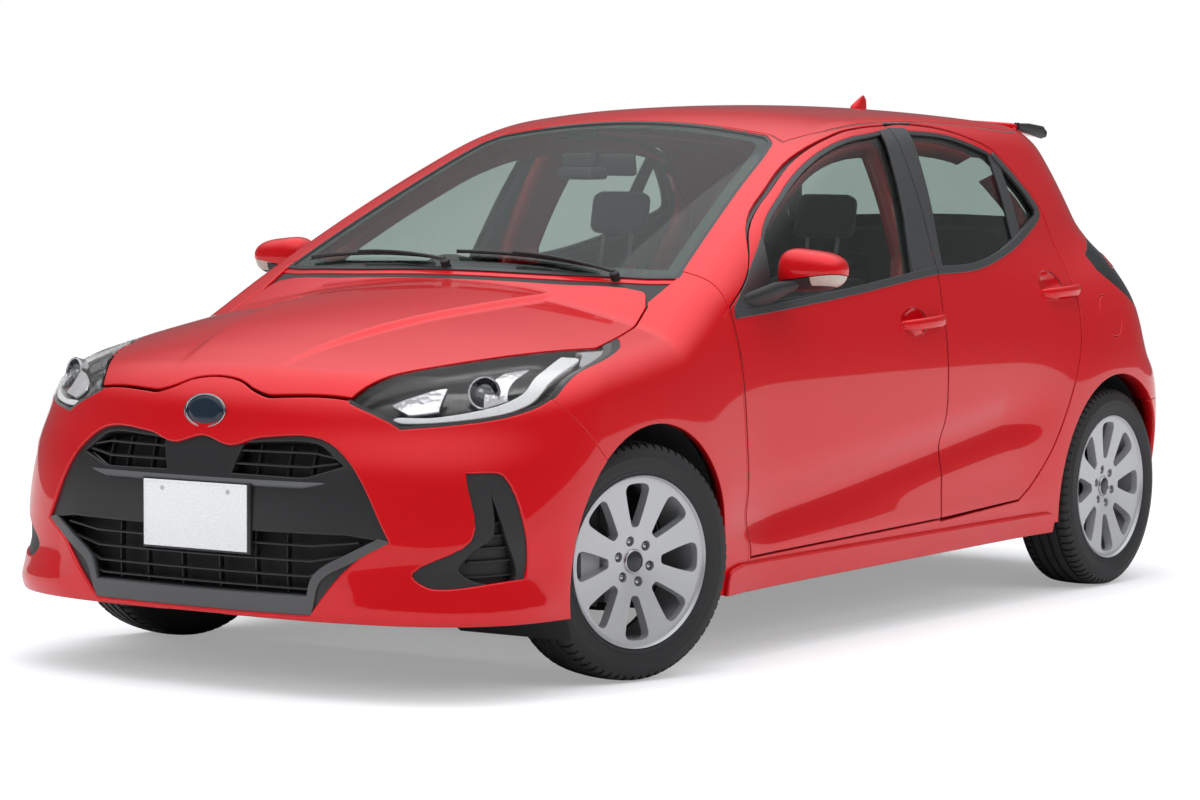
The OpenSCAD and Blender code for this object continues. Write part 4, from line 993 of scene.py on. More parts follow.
reflector = [(500, 722, C), (519, 740), (564, 759), (593, 762, C), (602, 708, C), (543, 700, C)]
pocket = lambda p: 9 + 12 * np.clip(1 - ((p[:, 0] - 550) / 60)**2 - ((p[:, 2] - 731) / 38)**2, 0, 1)
shell("headlamp_reflector", carved([face_on(lamp_edge, -4), face_on(reflector)]), [chrome], "root",
      "lamp_lens",
      depth=12, edge=2, inset=pocket, twin=True)
wing_line = [(655, 796, C), (682, 803, C), (720, 733, C), (689, 716, C)]
shell("headlamp_chrome_wing", carved([face_on(lamp_edge, -4), face_on(wing_line)]), [chrome], "root",
      "lamp_lens",
      depth=12, edge=2, inset=9, twin=True)


def front_point(x, z, depth=0.0):
    """The place on the nose at a distance across and a height, and a depth inside it."""
    y = np.linspace(-2000, -1000, 2001)
    p = np.stack([np.full(2001, x), y, np.full(2001, z)], 1)
    hit = p[np.argmax(skin(p) < 0)][None]
    return Vector(onto_skin(hit, depth)[0])


def aimed(place, way):
    """A frame at a place with its x axis along a way."""
    return Matrix.Translation(Vector(place) * MM) @ Vector(way).to_track_quat("X", "Z").to_matrix().to_4x4()


projector_at = front_point(668, 757, 15)
projector_way = (0.34, -0.93, 0.12)
ring = turned([(-20, 36), (4, 41), (8, 39.5), (6, 36), (-16, 30), (-20, 30), (-20, 36)], 72)
piece("projector_ring", moved(ring, aimed(projector_at, projector_way)), [chrome], "root", "lamp_lens",
      twin=True,
      sharp=30)
barrel = turned([(-24, 34), (-6, 33), (-3, 28), (-8, 27), (-24, 27), (-24, 34)], 64)
piece("projector_barrel", moved(barrel, aimed(projector_at, projector_way)), [bowl_black], "root",
      "lamp_lens",
      twin=True, sharp=30)
ball = turned([(-10, 27.5), (-2, 26), (5, 21), (9, 13), (11, 5), (11.4, 0.02)], 48)
bulb_glass, nodes, links, shader = node_material("projector_glass")
shader.inputs["Base Color"].default_value = (0.05, 0.055, 0.06, 1)
shader.inputs["Metallic"].default_value = 0.6
shader.inputs["Roughness"].default_value = 0.06
shader.inputs["Coat Weight"].default_value = 1
piece("projector_lens", moved(ball, aimed(projector_at, projector_way)), [bulb_glass], "root", "lamp_lens",
      twin=True)

# ------------------------------------------------------------ front grille
# A black moulding: frame, a broad middle bar that carries the plate with a chamfer along its top, thin slats in
# the openings above and below, and a dark mesh behind; the chamfer and the lips are a lighter grey, a painted
# highlight.
grille_black = plastic("grille_black", (0.016, 0.016, 0.017), 0.38, 700, 0.05)
# The lighter grey below stands for the light caught by the up-facing chamfer and the proud lips: a painted
# highlight.
grille_highlight_grey = plastic("grille_highlight_grey", (0.07, 0.071, 0.074), 0.3, 500, 0.03)
upper_hole = [(124, 622, C), (186, 628), (336, 628), (402, 588), (424, 572, C), (330, 541), (308, 538, C),
              (98, 541, C)]
lower_hole = [(0, 408), (440, 410, C), (534, 396, C), (452, 350), (368, 300), (343, 252, C), (0, 250)]
mouth = lambda by: face_on(mirrored(grille_edge), by)
holes = [face_on(upper_hole), flipped(face_on(upper_hole)), face_on(mirrored(lower_hole))]
shell("grille_moulding", carved([mouth(4)], holes), [grille_black], "root", "black_plastic", ["grille"],
      depth=40,
      edge=4, inset=9)
chamfer_line = [(0, 519), (315, 520, C), (455, 545, C), (424, 580, C), (325, 543, C), (300, 540, C), (0, 541)]
# The chamfer along the top of the middle bar is in the lighter grey: painted highlight.
shell("grille_chamfer", carved([mouth(0), face_on(mirrored(chamfer_line))]), [grille_highlight_grey], "root",
      "black_plastic",
      depth=9, edge=2.5, inset=lambda p: 3 + 0.5 * (p[:, 2] - 519))
lip_line = [(0, 249), (335, 251, C), (349, 208, C), (0, 206)]
# The lip under the lower opening is in the lighter grey: painted highlight.
shell("grille_lip", carved([mouth(0), face_on(mirrored(lip_line))]), [grille_highlight_grey], "root", "black_plastic",
      depth=16, edge=3, inset=3)
side_lip = [(548, 392, C), (462, 345), (376, 296), (349, 222, C), (333, 224, C), (358, 306), (452, 362),
            (520, 398, C)]
# The lip along each side of the lower opening is in the lighter grey: painted highlight.
shell("grille_side_lip", carved([mouth(2), face_on(side_lip)]), [grille_highlight_grey], "root", "black_plastic",
      depth=14,
      edge=3, inset=3, twin=True)
for name, line in [("upper_1", [(100, 604), (330, 606), (392, 596)]),
                   ("upper_2", [(92, 571), (318, 570), (400, 583)]),
                   ("lower_1", [(0, 376), (345, 377), (470, 389)]),
                   ("lower_2", [(0, 338), (340, 339), (440, 356)]),
                   ("lower_3", [(0, 300), (335, 301), (388, 318)]),
                   ("lower_4", [(0, 268), (330, 269), (352, 276)])]:
    spread = np.array([line[0], line[1], line[2]], float)
    across = np.concatenate([np.linspace(spread[0][0], spread[1][0], 7), [spread[2][0]]])
    rise = np.interp(across, spread[:, 0], spread[:, 1])
    bars = [(tuple(front_point(x, z, 22)), 7, 3.2) for x, z in zip(across, rise)]
    if line[0][0] == 0:
        bars = [((-p[0], p[1], p[2]), w, h) for p, w, h in reversed(bars[1:])] + bars
        piece("grille_slat_" + name, swept(bars, 3, 12, (0, 1, 0)), [grille_black], "root", "black_plastic",
              sharp=40)
    else:
        piece("grille_slat_" + name, swept(bars, 3, 12, (0, 1, 0)), [grille_black], "root", "black_plastic",
              twin=True,
              sharp=40)
for name, x, low, high in [("upper_a", 172, 545, 622), ("upper_b", 262, 545, 622), ("upper_c", 330, 548, 616),
                           ("lower_a", 60, 236, 402), ("lower_b", 175, 236, 402), ("lower_c", 270, 236, 402)]:
    stick = [(tuple(front_point(x, z, 34)), 2.5, 9) for z in np.linspace(low, high, 5)]
    piece("grille_rib_" + name, swept(stick, 3, 12), [grille_black], "root", "black_plastic", twin=True,
          sharp=40)
shell("grille_backing", carved([mouth(-2)]), [dark_inside], "root", "black_plastic", depth=3, edge=1,
      inset=58)

# ----------------------------------------------------------- nose badge
# The badge is left plain: a domed dark disc in a thin bright ring.
badge_at = front_point(0, 690, -1)
plain_ring = turned([(-4, 34), (1.5, 36), (3, 35), (2.5, 32.5), (-1, 31.5), (-4, 34)], 72)
badge_frame = aimed(badge_at, (0, -1, 0.12)) @ Matrix.Diagonal((1, 1.85, 1.18, 1))
piece("badge_ring", moved(plain_ring, badge_frame), [chrome], "root", "cast_metal")
dome = turned([(-3, 32), (1.5, 31), (3, 22), (4, 10), (4.3, 0.02)], 48)
badge_blue = plastic("badge_face", (0.012, 0.02, 0.035), 0.1, 300, 0.0)
piece("badge_face", moved(dome, badge_frame), [badge_blue], "root", "cast_metal")

# ---------------------------------------------------------- number plate
# A blank pressed plate with a raised rim and two screws, on a black holder.
plate_white = plastic("plate_white", (0.78, 0.79, 0.79), 0.35, 200, 0.01)
low, high = [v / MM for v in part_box("number_plate")]
front = low[1]
plate = rounded_box((low[0], front + 1, low[2]), (high[0], front + 3, high[2]), 0.9, 2)
piece("plate_sheet", plate, [plate_white], "root", "plate", ["number_plate"], sharp=40)
rim_path = rounded_box((low[0], front, low[2]), (high[0], front + 4, high[2]), 1.6, 3)
middle = rounded_box((low[0] + 5, front - 3, low[2] + 5), (high[0] - 5, front + 9, high[2] - 5), 2.5, 3)
piece("plate_rim", boolean(rim_path, [middle]), [plate_white], "root", "plate", sharp=40)
holder = rounded_box((low[0] - 5, front + 3, low[2] - 6), (high[0] + 9, front + 16, high[2] + 5), 3, 3)
piece("plate_holder", holder, [grille_black], "root", "black_plastic", sharp=40)
screws = [moved(turned([(0, 6), (1.6, 5.4), (2.2, 3), (2.2, 0.02)], 24),
                aimed((s * 105, front + 1, high[2] - 20),
                      (0, -1, 0))) for s in (-1, 1)]
steel = plastic("bright_steel", (0.45, 0.45, 0.46), 0.3, 300, 0.0)
piece("plate_screws", joined(*screws), [steel], "root", "cast_metal", sharp=40)

# -------------------------------------------------------------- fog trims
# A grained black surround at each corner of the bumper with a ribbed blind pocket in it.
pocket_line = [(735, 530, C), (765, 430), (781, 320), (772, 288), (718, 300), (690, 330), (716, 374),
               (748, 410)]
shell("fog_surround", carved([face_on(fog_edge, 3)], [face_on(pocket_line)]), [grained_black], "root",
      "black_plastic",
      ["fog_trims"], depth=42, edge=4, inset=6, twin=True)
shell("fog_pocket", carved([face_on(fog_edge, -1), face_on(pocket_line, 4)]), [grained_black], "root",
      "black_plastic",
      depth=4, edge=1, inset=40, twin=True)
for k in range(6):
    z = 312 + 32 * k
    row = [(tuple(front_point(x, z, 34)), 8, 3.5) for x in (700 + 9 * k, 740 + 4 * k, 785)]
    piece("fog_rib_%d" % (k + 1), swept(row, 3, 12, (0, 1, 0)), [grained_black], "root", "black_plastic",
          twin=True,
          sharp=40)
# ----------------------------------------------------------------- wheels
# Cast alloy wheels with eight flat spokes that widen to the rim, six nut pockets and a plain dark cap; tyres
# with ringed sidewalls, grooves and shoulder blocks. The front pair is parked turned to the car's right.
alloy = plastic("silver_alloy", (0.5, 0.505, 0.515), 0.3, 900, 0.02)
alloy.node_tree.nodes["Principled BSDF"].inputs["Metallic"].default_value = 0.5
rubber = plastic("tyre_rubber", (0.017, 0.017, 0.018), 0.62, 800, 0.12)
cast = plastic("cast_iron", (0.16, 0.16, 0.165), 0.42, 500, 0.05)
cast.node_tree.nodes["Principled BSDF"].inputs["Metallic"].default_value = 0.8
spokes, parked_steer, kingpin, track = 8, 16, 690, 740

face_profile = [(58, 0.02), (60, 34), (63, 60), (74, 180), (77, 206), (66, 207), (50, 188), (40, 110),
                (30, 60),
                (28, 0.02)]
barrel_profile = [(79, 212), (84, 215), (86.5, 217.5), (84, 218.5), (79, 216), (76, 211), (-76, 211),
                  (-84, 217), (-88, 217),
                  (-84, 208), (-60, 205), (-20, 196), (30, 198), (60, 202), (76, 204), (79, 212)]


def window_cutter(angle):
    """A tapering opening between two spokes, wider towards the outside."""
    outline = smoothed([(-7, 82, C), (-14, 88), (-41, 178), (-36, 194), (-18, 200), (18, 200), (36, 194),
                        (41, 178),
                        (14, 88), (7, 82, C)])
    mesh = bmesh.new()
    face = mesh.faces.new([mesh.verts.new(Vector((100, a, b)) * MM) for a, b in outline])
    lifted = bmesh.ops.extrude_face_region(mesh, geom=[face])["geom"]
    for v in [v for v in lifted if isinstance(v, bmesh.types.BMVert)]:
        v.co = Vector((20 * MM, v.co.y * 0.74, 0.146 + (v.co.z - 0.146) * 0.84))
    bmesh.ops.recalc_face_normals(mesh, faces=mesh.faces)
    return moved(mesh, Matrix.Rotation(angle, 4, "X"))


cutters = [window_cutter(2 * math.pi * k / spokes) for k in range(spokes)]
for k in range(6):
    turn = Matrix.Rotation(2 * math.pi * (k + 0.25) / 6, 4, "X") @ Matrix.Translation(Vector((0, 0, 53)) * MM)
    cutters.append(moved(turned([(44, 0.02), (44, 11.5), (56, 13), (120, 14), (120, 0.02)], 32), turn))
wheel_face = boolean(turned(face_profile, 128), cutters)
wheel_data = bpy.data.meshes.new("wheel_face")
joined(wheel_face, turned(barrel_profile, 128)).to_mesh(wheel_data)
nuts = []
for k in range(6):
    turn = Matrix.Rotation(2 * math.pi * (k + 0.25) / 6, 4, "X") @ Matrix.Translation(Vector((0, 0, 53)) * MM)
    nuts.append(moved(turned([(42, 9.5), (52, 9.5), (54, 8), (58, 7), (60, 4), (60.5, 0.02)], 6), turn))
nuts.append(turned([(56, 31), (62, 31), (64.5, 29), (64.5, 26.5), (62.5, 25.5)], 64))
cap = turned([(62, 26), (63.5, 24), (65, 12), (65.4, 0.02)], 48)
disc_face = turned([(-74, 50), (-74, 126), (-52, 126), (-52, 78), (-40, 76), (-20, 66), (12, 62), (12, 0.02)],
                   96)
caliper = boolean(turned([(-90, 96), (-90, 140), (-36, 140), (-36, 90), (-48, 88), (-48, 134), (-80, 134),
                          (-80, 96),
                          (-90, 96)], 24, 60, 62), [])
tyre_profile = [(78, 213), (83, 219), (88, 226), (89.5, 231), (88.5, 232), (91, 242), (92.5, 252),
                (91.5, 262), (92, 263),
                (89.5, 276), (88, 277.5), (86, 286), (80, 294), (72, 298.5), (54, 300.8), (52, 300.8),
                (51, 294), (43, 294),
                (42, 301.5), (24, 302.6), (21, 302.7), (20, 295), (11, 295), (10, 302.9), (0, 303)]
tyre_profile += [(-x, r) for x, r in reversed(tyre_profile[:-1])] + [(-74, 206), (74, 206), (78, 213)]
tyre = turned(tyre_profile, 216)
blocks = []
for f in tyre.faces:
    c = f.calc_center_median()
    radius = math.hypot(c.y, c.z) / MM
    share = (math.atan2(c.z, c.y) / (2 * math.pi) * 216) % 3
    if radius > 289 and 53 < abs(c.x / MM) < 87 and share < 1:
        blocks.append(f)
dug = bmesh.ops.extrude_face_region(tyre, geom=blocks)["geom"]
bmesh.ops.delete(tyre, geom=[f for f in blocks if f.is_valid], context="FACES")
for v in [v for v in dug if isinstance(v, bmesh.types.BMVert)]:
    v.co.yz = v.co.yz * (1 - 4.5 * MM / v.co.yz.length)
bmesh.ops.recalc_face_normals(tyre, faces=tyre.faces)
wheel_parts = [("wheel_rim", wheel_data, [alloy], "alloy", 28, "wheel_"),
               ("tyre_tread", tyre, [rubber], "tyre_rubber", 35,
                "tyre_"),
               ("wheel_nuts", joined(*nuts), [chrome], "cast_metal", 30, None),
               ("wheel_cap", cap, [satin_black], "black_plastic", 30, None),
               ("brake_disc", disc_face, [cast], "cast_metal", 30, None)]
for end, steer in [("front", parked_steer), ("rear", 0)]:
    for side, sign in [("left", 1), ("right", -1)]:
        lean = Matrix.Rotation(-math.radians(steer), 4, "Z")
        if end == "front":
            centre = Vector((sign * kingpin, axle_front,
                             wheel_radius)) + lean @ Vector((sign * (track - kingpin), 0, 0))
        else:
            centre = Vector((sign * track, axle_rear, wheel_radius))
        spot = Matrix.Translation(centre * MM) @ lean @ Matrix.Rotation(0 if sign > 0 else math.pi, 4, "Z")
        for name, source, looks, slot_name, sharp, stands in wheel_parts:
            mesh = bmesh.new()
            if isinstance(source, bpy.types.Mesh):
                mesh.from_mesh(source)
            else:
                mesh = source.copy()
            piece(name + "_" + end + "_" + side, moved(mesh, spot), looks, end + "_wheel_" + side, slot_name,
                  [stands + end + "_" + side] if stands else (), sharp=sharp)
        body = "upright_" + side if end == "front" else "root"
        piece("brake_caliper_%s_%s" % (end, side), moved(caliper.copy(), spot), [cast], body, "cast_metal",
              sharp=30)
bpy.data.meshes.remove(wheel_data)

# ----------------------------------------------------------- wheel arches
# Black moulded liners, each a shell round the upper part of its opening with a wall on the inboard side.
for name, y, inboard, outer, half in [("arch_liner_front", axle_front, 455, 800, 118),
                                      ("arch_liner_rear", axle_rear, 560, 766, 100)]:
    liner = turned([(inboard, 120), (inboard + 4, 345), (inboard + 20, 355), (outer, 354), (outer + 6, 357),
                    (outer, 361),
                    (inboard + 14, 361), (inboard - 4, 350), (inboard - 5, 120)], 64, -half, 2 * half)
    piece(name, moved(liner, Matrix.Translation(Vector((0, y, wheel_radius)) * MM)), [dark_inside], "root",
          "black_plastic", twin=True, sharp=35)
# ---------------------------------------------------------------- mirrors
# Each mirror is a red cap over a black lower shell with a clear turn lamp at its tip, on a black foot.
sections = []
for turn in np.linspace(0, math.pi, 25):
    u = -math.cos(turn)
    full = (1 - abs(u)**3.4) ** (1 / 2.6)
    sections.append(((891 + 94 * u, -506 + 4 * u, 1016 - 5 * u * abs(u)), 4 + 56 * full,
                     3 + (52 - 9 * u) * full))
housing = swept(sections, 2.6, 40, (0, 1, 0))
flat_back = bmesh.ops.bisect_plane(housing, geom=housing.verts[:] + housing.edges[:] + housing.faces[:],
                                   plane_co=Vector((0, -464, 0)) * MM, plane_no=(0, 1, 0), clear_outer=True)
bmesh.ops.holes_fill(housing, edges=[e for e in flat_back["geom_cut"] if isinstance(e, bmesh.types.BMEdge)])
cut_at, cut_way = Vector((800, -500, 981)) * MM, Vector((-0.14, 0.1, 1)).normalized()


def half_of(mesh, at, way, upper):
    mesh = mesh.copy()
    cut = bmesh.ops.bisect_plane(mesh, geom=mesh.verts[:] + mesh.edges[:] + mesh.faces[:], plane_co=at,
                                 plane_no=way,
                                 clear_inner=upper, clear_outer=not upper)
    bmesh.ops.holes_fill(mesh, edges=[e for e in cut["geom_cut"] if isinstance(e, bmesh.types.BMEdge)])
    return mesh


piece("mirror_cap", half_of(housing, cut_at, cut_way, True), [paint], "front_door_left_leaf", "paint",
      ["mirror_left"],
      twin=True, sharp=40)
under = moved(half_of(housing, cut_at - cut_way * 2 * MM, cut_way, False),
              Matrix.Translation(cut_at) @ Matrix.Scale(0.985, 4) @ Matrix.Translation(-cut_at))
low_at, low_way = cut_at - Vector((0, 0, 10)) * MM, Vector((-0.02, 0.1, 1)).normalized()
strip_part = half_of(under, low_at, low_way, True)
tip_at, tip_way = Vector((926, -500, 980)) * MM, Vector((1, -0.2, 0)).normalized()
piece("mirror_under",
      joined(half_of(under, low_at, low_way, False), half_of(strip_part, tip_at, tip_way, False)),
      [grained_black], "front_door_left_leaf", "black_plastic", twin=True, sharp=40)
turn_lens = plastic("turn_lens", (0.5, 0.42, 0.36), 0.08, 200, 0.0)
piece("mirror_turn_lamp", half_of(strip_part, tip_at, tip_way, True), [turn_lens], "front_door_left_leaf",
      "lamp_lens", twin=True, sharp=40)
foot = swept([((745, -640, 928), 64, 19), ((792, -618, 944), 60, 21), ((815, -580, 960), 48, 19),
              ((842, -545, 974), 36, 14), ((880, -520, 986), 26, 9)], 2.8, 28, (0, 1, 0), end=3)
piece("mirror_foot", foot, [grained_black], "front_door_left_leaf", "black_plastic", twin=True, sharp=40)
mirror_back = swept([((894, -465, 1016), 72, 34), ((894, -461, 1016), 72, 34)], 3.4, 48, (1, 0, 0), end=0.6)
silvered, nodes, links, shader = node_material("silvered_glass")
shader.inputs["Base Color"].default_value = (0.8, 0.82, 0.83, 1)
shader.inputs["Metallic"].default_value = 1
shader.inputs["Roughness"].default_value = 0.02
piece("mirror_glass", mirror_back, [silvered], "front_door_left_leaf", "glass", twin=True, sharp=30)

# ----------------------------------------------------------- door handles
# A painted pull bar bridging the scoop, swelling at its rear end where the lock barrel sits under a cap.
for which, cup, rise in [("front", cup_front, 0.05), ("rear", cup_rear, 0.07)]:
    stations = []
    for along_bar, out, wide, tall in [(-98, 1, 3, 8), (-92, 7, 7, 13), (-70, 17, 10, 15),
                                       (-30, 26, 10, 15.5),
                                       (30, 31, 10, 16), (80, 31, 11, 17), (104, 24, 12, 18),
                                       (117, 12, 10, 15),
                                       (122, 3, 5, 9)]:
        y, z = cup[0] + 24 + along_bar, cup[1] + along_bar * rise
        base = onto_skin(np.array([[830.0, y, z]]))[0]
        stations.append(((base[0] + out - 6, base[1], base[2]), wide, tall))
    pull = swept(stations, 2.5, 28, (1, 0, 0), end=1.5)
    piece(which + "_door_handle", pull, [paint], which + "_door_left_leaf", "paint", twin=True, sharp=40)

# ------------------------------------------------------ spoiler and aerial
# A short painted spoiler over the rear window with black end plates, and a painted fin on the roof.
low, high = [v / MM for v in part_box("spoiler")]
wing_top = rounded_box((low[0] + 22, low[1] + 4, 0), (high[0] - 22, high[1], 24), 8, 4)
bmesh.ops.subdivide_edges(wing_top,
                          edges=[e for e in wing_top.edges if abs(e.verts[0].co.x - e.verts[1].co.x) > 0.5],
                          cuts=16)
for v in wing_top.verts:
    x, y, z = v.co / MM
    share = (y - low[1]) / (high[1] - low[1])
    v.co.z = (high[2] - 25 - 22 * share**1.6 - 0.00008 * x * x + z * (1 - 0.45 * share)) * MM
    v.co.y = (y - 0.00018 * x * x * share) * MM
piece("spoiler_blade", wing_top, [paint], "hatch", "paint", ["spoiler"], sharp=50)
end_plate = swept([((455, low[1] + 30, 1402), 10, 10), ((462, low[1] + 90, 1396), 12, 16),
                   ((462, high[1] - 60, 1384), 12, 20),
                   ((458, high[1] - 36, 1380), 8, 10)], 2.6, 24, (1, 0, 0), end=3)
piece("spoiler_end_plate", end_plate, [grained_black], "hatch", "black_plastic", twin=True, sharp=40)
fin = swept([((0, 1238, 1434), 20, 52), ((0, 1240, 1446), 17, 47), ((0, 1252, 1462), 10, 34),
             ((0, 1262, 1478), 6, 23),
             ((0, 1269, 1488), 4, 15), ((0, 1272, 1491), 2, 10)], 2.2, 28, (1, 0, 0))
piece("roof_fin", fin, [paint], "root", "paint", ["roof_antenna"])

# --------------------------------------------------------- cowl and wipers
# A grained cowl below the glass, and two arms with rubber blades.
cowl = carved([plan(cowl_zone)],
              [plan(bonnet_edge, -14), plan(screen_edge, -6)])
shell("cowl_panel", cowl, [grained_black], "root", "black_plastic", ["scuttle"], depth=20, edge=3, inset=9)


def on_glass(x, y, lift=0.0):
    z = top_height(np.array([x]), np.array([y]))[0]
    return (x, y, z + lift)


blades = []
for pivot, tip in [((-20, -905), (-560, -812)), ((500, -862), (-18, -868))]:
    (x0, y0), (x1, y1) = pivot, tip
    reach = [(x0 + (x1 - x0) * t, y0 + (y1 - y0) * t) for t in np.linspace(0, 1, 9)]
    arm = [(on_glass(x, y, 16 + 8 * math.sin(3.1 * k / 8)), 8 - 0.5 * k, 4.5 - 0.2 * k)
           for k, (x, y) in enumerate(reach[:6])]
    blades.append(swept(arm, 3, 16, (0, 1, 0), end=1))
    blade = [(on_glass(x0 + (x1 - x0) * t, y0 + (y1 - y0) * t + 16, 9), 8 if 0.2 < t < 0.95 else 4, 5)
             for t in np.linspace(0.12, 1.0, 9)]
    blades.append(swept(blade, 3, 16, (0, 1, 0), end=1))
    blades.append(moved(turned([(-14, 13), (8, 13), (11, 10), (12, 0.02)], 32),
                        aimed(on_glass(x0, y0, 6), (0, -0.45, 0.9))))
piece("wiper_arms", joined(*blades), [grained_black], "root", "black_plastic", ["wipers"], sharp=40)
# ------------------------------------------------------------ door hinges
# Steel straps and knuckles on the pillars, a little inboard of the lines that the doors turn about.
straps = []
for x, y in [(818, -698), (812, 376)]:
    for z in (480, 770):
        straps.append(rounded_box((x - 86, y - 7, z - 28), (x - 62, y + 7, z + 28), 2, 2))
        pin = swept([((x - 57, y, z - 29), 6.5, 6.5), ((x - 57, y, z + 29), 6.5, 6.5)], 2, 24, (1, 0, 0),
                    end=1)
        straps.append(pin)
piece("hinge_straps", joined(*straps), [cast], "root", "chassis_black", ["door_hinges"], twin=True, sharp=40)

# ------------------------------------------------------------ front seats
# Foam pads in charcoal cloth with sewn channels, on steel rails bolted to the floor; each head pad stands on
# two
# steel posts that drop into the back.
seat_cloth, nodes, links, shader = node_material("seat_cloth")
where = nodes.new("ShaderNodeTexCoord")
weave = nodes.new("ShaderNodeTexWave")
weave.inputs["Scale"].default_value = 260
weave.inputs["Distortion"].default_value = 1.5
across_weave = nodes.new("ShaderNodeTexWave")
across_weave.bands_direction = "Z"
across_weave.inputs["Scale"].default_value = 260
across_weave.inputs["Distortion"].default_value = 1.5
threads = nodes.new("ShaderNodeMath")
threads.operation = "ADD"
tone = nodes.new("ShaderNodeMix")
tone.data_type = "RGBA"
tone.inputs["A"].default_value = (0.018, 0.019, 0.021, 1)
tone.inputs["B"].default_value = (0.045, 0.047, 0.05, 1)
lift = nodes.new("ShaderNodeBump")
lift.inputs["Strength"].default_value = 0.35
lift.inputs["Distance"].default_value = 0.0006
links.new(where.outputs["Object"], weave.inputs["Vector"])
links.new(where.outputs["Object"], across_weave.inputs["Vector"])
links.new(weave.outputs["Fac"], threads.inputs[0])
links.new(across_weave.outputs["Fac"], threads.inputs[1])
links.new(threads.outputs[0], tone.inputs["Factor"])
links.new(threads.outputs[0], lift.inputs["Height"])
links.new(tone.outputs["Result"], shader.inputs["Base Color"])
links.new(lift.outputs["Normal"], shader.inputs["Normal"])
shader.inputs["Roughness"].default_value = 0.95
shader.inputs["Sheen Weight"].default_value = 0.25
back_place = Matrix.Translation(Vector((360, 180, 500)) * MM) @ Matrix.Rotation(math.radians(-20), 4, "X")
head_place = Matrix.Translation(Vector((360, 378, 1048)) * MM) @ Matrix.Rotation(math.radians(-12), 4, "X")


def stuffed(name, mesh, cap, seams, replaces=(), twin=False):
    """Swells a closed form like stuffed cloth, by at most cap, then presses its sewn channels in."""
    data = bpy.data.meshes.new(name)
    mesh.to_mesh(data)
    mesh.free()
    work = bpy.data.objects.new(name, data)
    scene.collection.objects.link(work)
    even = work.modifiers.new("even", "REMESH")
    even.mode, even.voxel_size = "VOXEL", 0.012
    start = bpy.data.meshes.new_from_object(work.evaluated_get(bpy.context.evaluated_depsgraph_get()))
    work.modifiers.clear()
    work.data = start
    count = len(start.vertices)
    rest = np.empty(count * 3)
    start.vertices.foreach_get("co", rest)
    rest = rest.reshape(-1, 3)
    cloth = work.modifiers.new("swell", "CLOTH")
    cloth.settings.use_pressure = True
    cloth.settings.uniform_pressure_force = 4
    cloth.settings.effector_weights.gravity = 0
    for step in range(1, 21):
        scene.frame_set(step)
    swollen = work.evaluated_get(bpy.context.evaluated_depsgraph_get()).to_mesh()
    now = np.empty(count * 3)
    swollen.vertices.foreach_get("co", now)
    shift = now.reshape(-1, 3) - rest
    shift -= shift.mean(axis=0)
    length = np.linalg.norm(shift, axis=1)
    shift *= np.minimum(1, cap * MM / np.maximum(length, 1e-9))[:, None]
    work.modifiers.clear()
    scene.frame_set(1)
    start.vertices.foreach_set("co", (rest + shift).ravel())
    start.update()
    finer = work.modifiers.new("finer", "SUBSURF")
    finer.levels = 1
    done = bmesh.new()
    done.from_mesh(bpy.data.meshes.new_from_object(work.evaluated_get(bpy.context.evaluated_depsgraph_get())))
    bpy.data.objects.remove(work)
    bmesh.ops.recalc_face_normals(done, faces=done.faces)
    done.normal_update()
    at = np.array([v.co for v in done.verts]) / MM
    depth = seams(at)
    for v, d in zip(done.verts, depth):
        v.co -= v.normal * float(d) * MM
    made = piece(name, done, [seat_cloth], "root", "seat_cloth", replaces, twin=twin)
    return made


def channel(distance, deep=7.0, wide=6.0):
    return deep * np.exp(-(distance / wide)**2)


cushion = joined(rounded_box((132, -226, 422), (588, 230, 500), 26, 4),
                 rounded_box((132, -196, 430), (196, 230, 511), 26, 4),
                 rounded_box((524, -196, 430), (588, 230, 511), 26, 4))
stuffed("front_seat_cushion", cushion, 20,
        lambda p: (p[:, 2] > 490) * (channel(abs(p[:, 0] - 360) - 148) + channel(
    p[:, 1] + 60) * (abs(p[:, 0] - 360) < 150)), ["front_seats"], twin=True)
back = joined(rounded_box((-214, 26, 56), (214, 82, 528), 26, 4),
              rounded_box((-216, 6, 80), (-150, 76, 430), 26, 4),
              rounded_box((150, 6, 80), (216, 76, 430), 26, 4))
for v in back.verts:
    v.co.x *= 1 - 0.26 * (v.co.z / (530 * MM))**2
stuffed("front_seat_back", moved(back, back_place), 18,
        lambda p: channel(abs(p[:, 0] - 360) - 132) * (p[:, 2] < 950)
        + channel(p[:, 2] - 930) * (abs(p[:, 0] - 360) < 134) + channel(p[:, 2] - 700)
        * (abs(p[:, 0] - 360) < 134),
        twin=True)
head = rounded_box((-100, 14, 34), (100, 66, 164), 24, 4)
stuffed("front_head_pad", moved(head, head_place), 14, lambda p: 0 * p[:, 0], twin=True)
rails = [rounded_box((x - 14, -188, 230), (x + 14, 188, 262), 4, 2) for x in (180, 540)]
rails += [rounded_box((x - 5, -150, 255), (x + 5, 175, 412), 3, 2) for x in (180, 540)]
rails += [swept([((180, y, 300), 11, 11), ((540, y, 300), 11, 11)], 2, 20, (0, 1, 0), end=1)
          for y in (-110, 140)]
piece("seat_rails", joined(*rails), [cast], "root", "seat_cloth", twin=True, sharp=40)
posts = [moved(swept([((x, 40, -60), 6, 6), ((x, 40, 62), 6, 6)], 2, 24, (1, 0, 0), end=1), head_place)
         for x in (-50, 50)]
piece("head_pad_posts", joined(*posts), [cast], "root", "seat_cloth", twin=True, sharp=40)

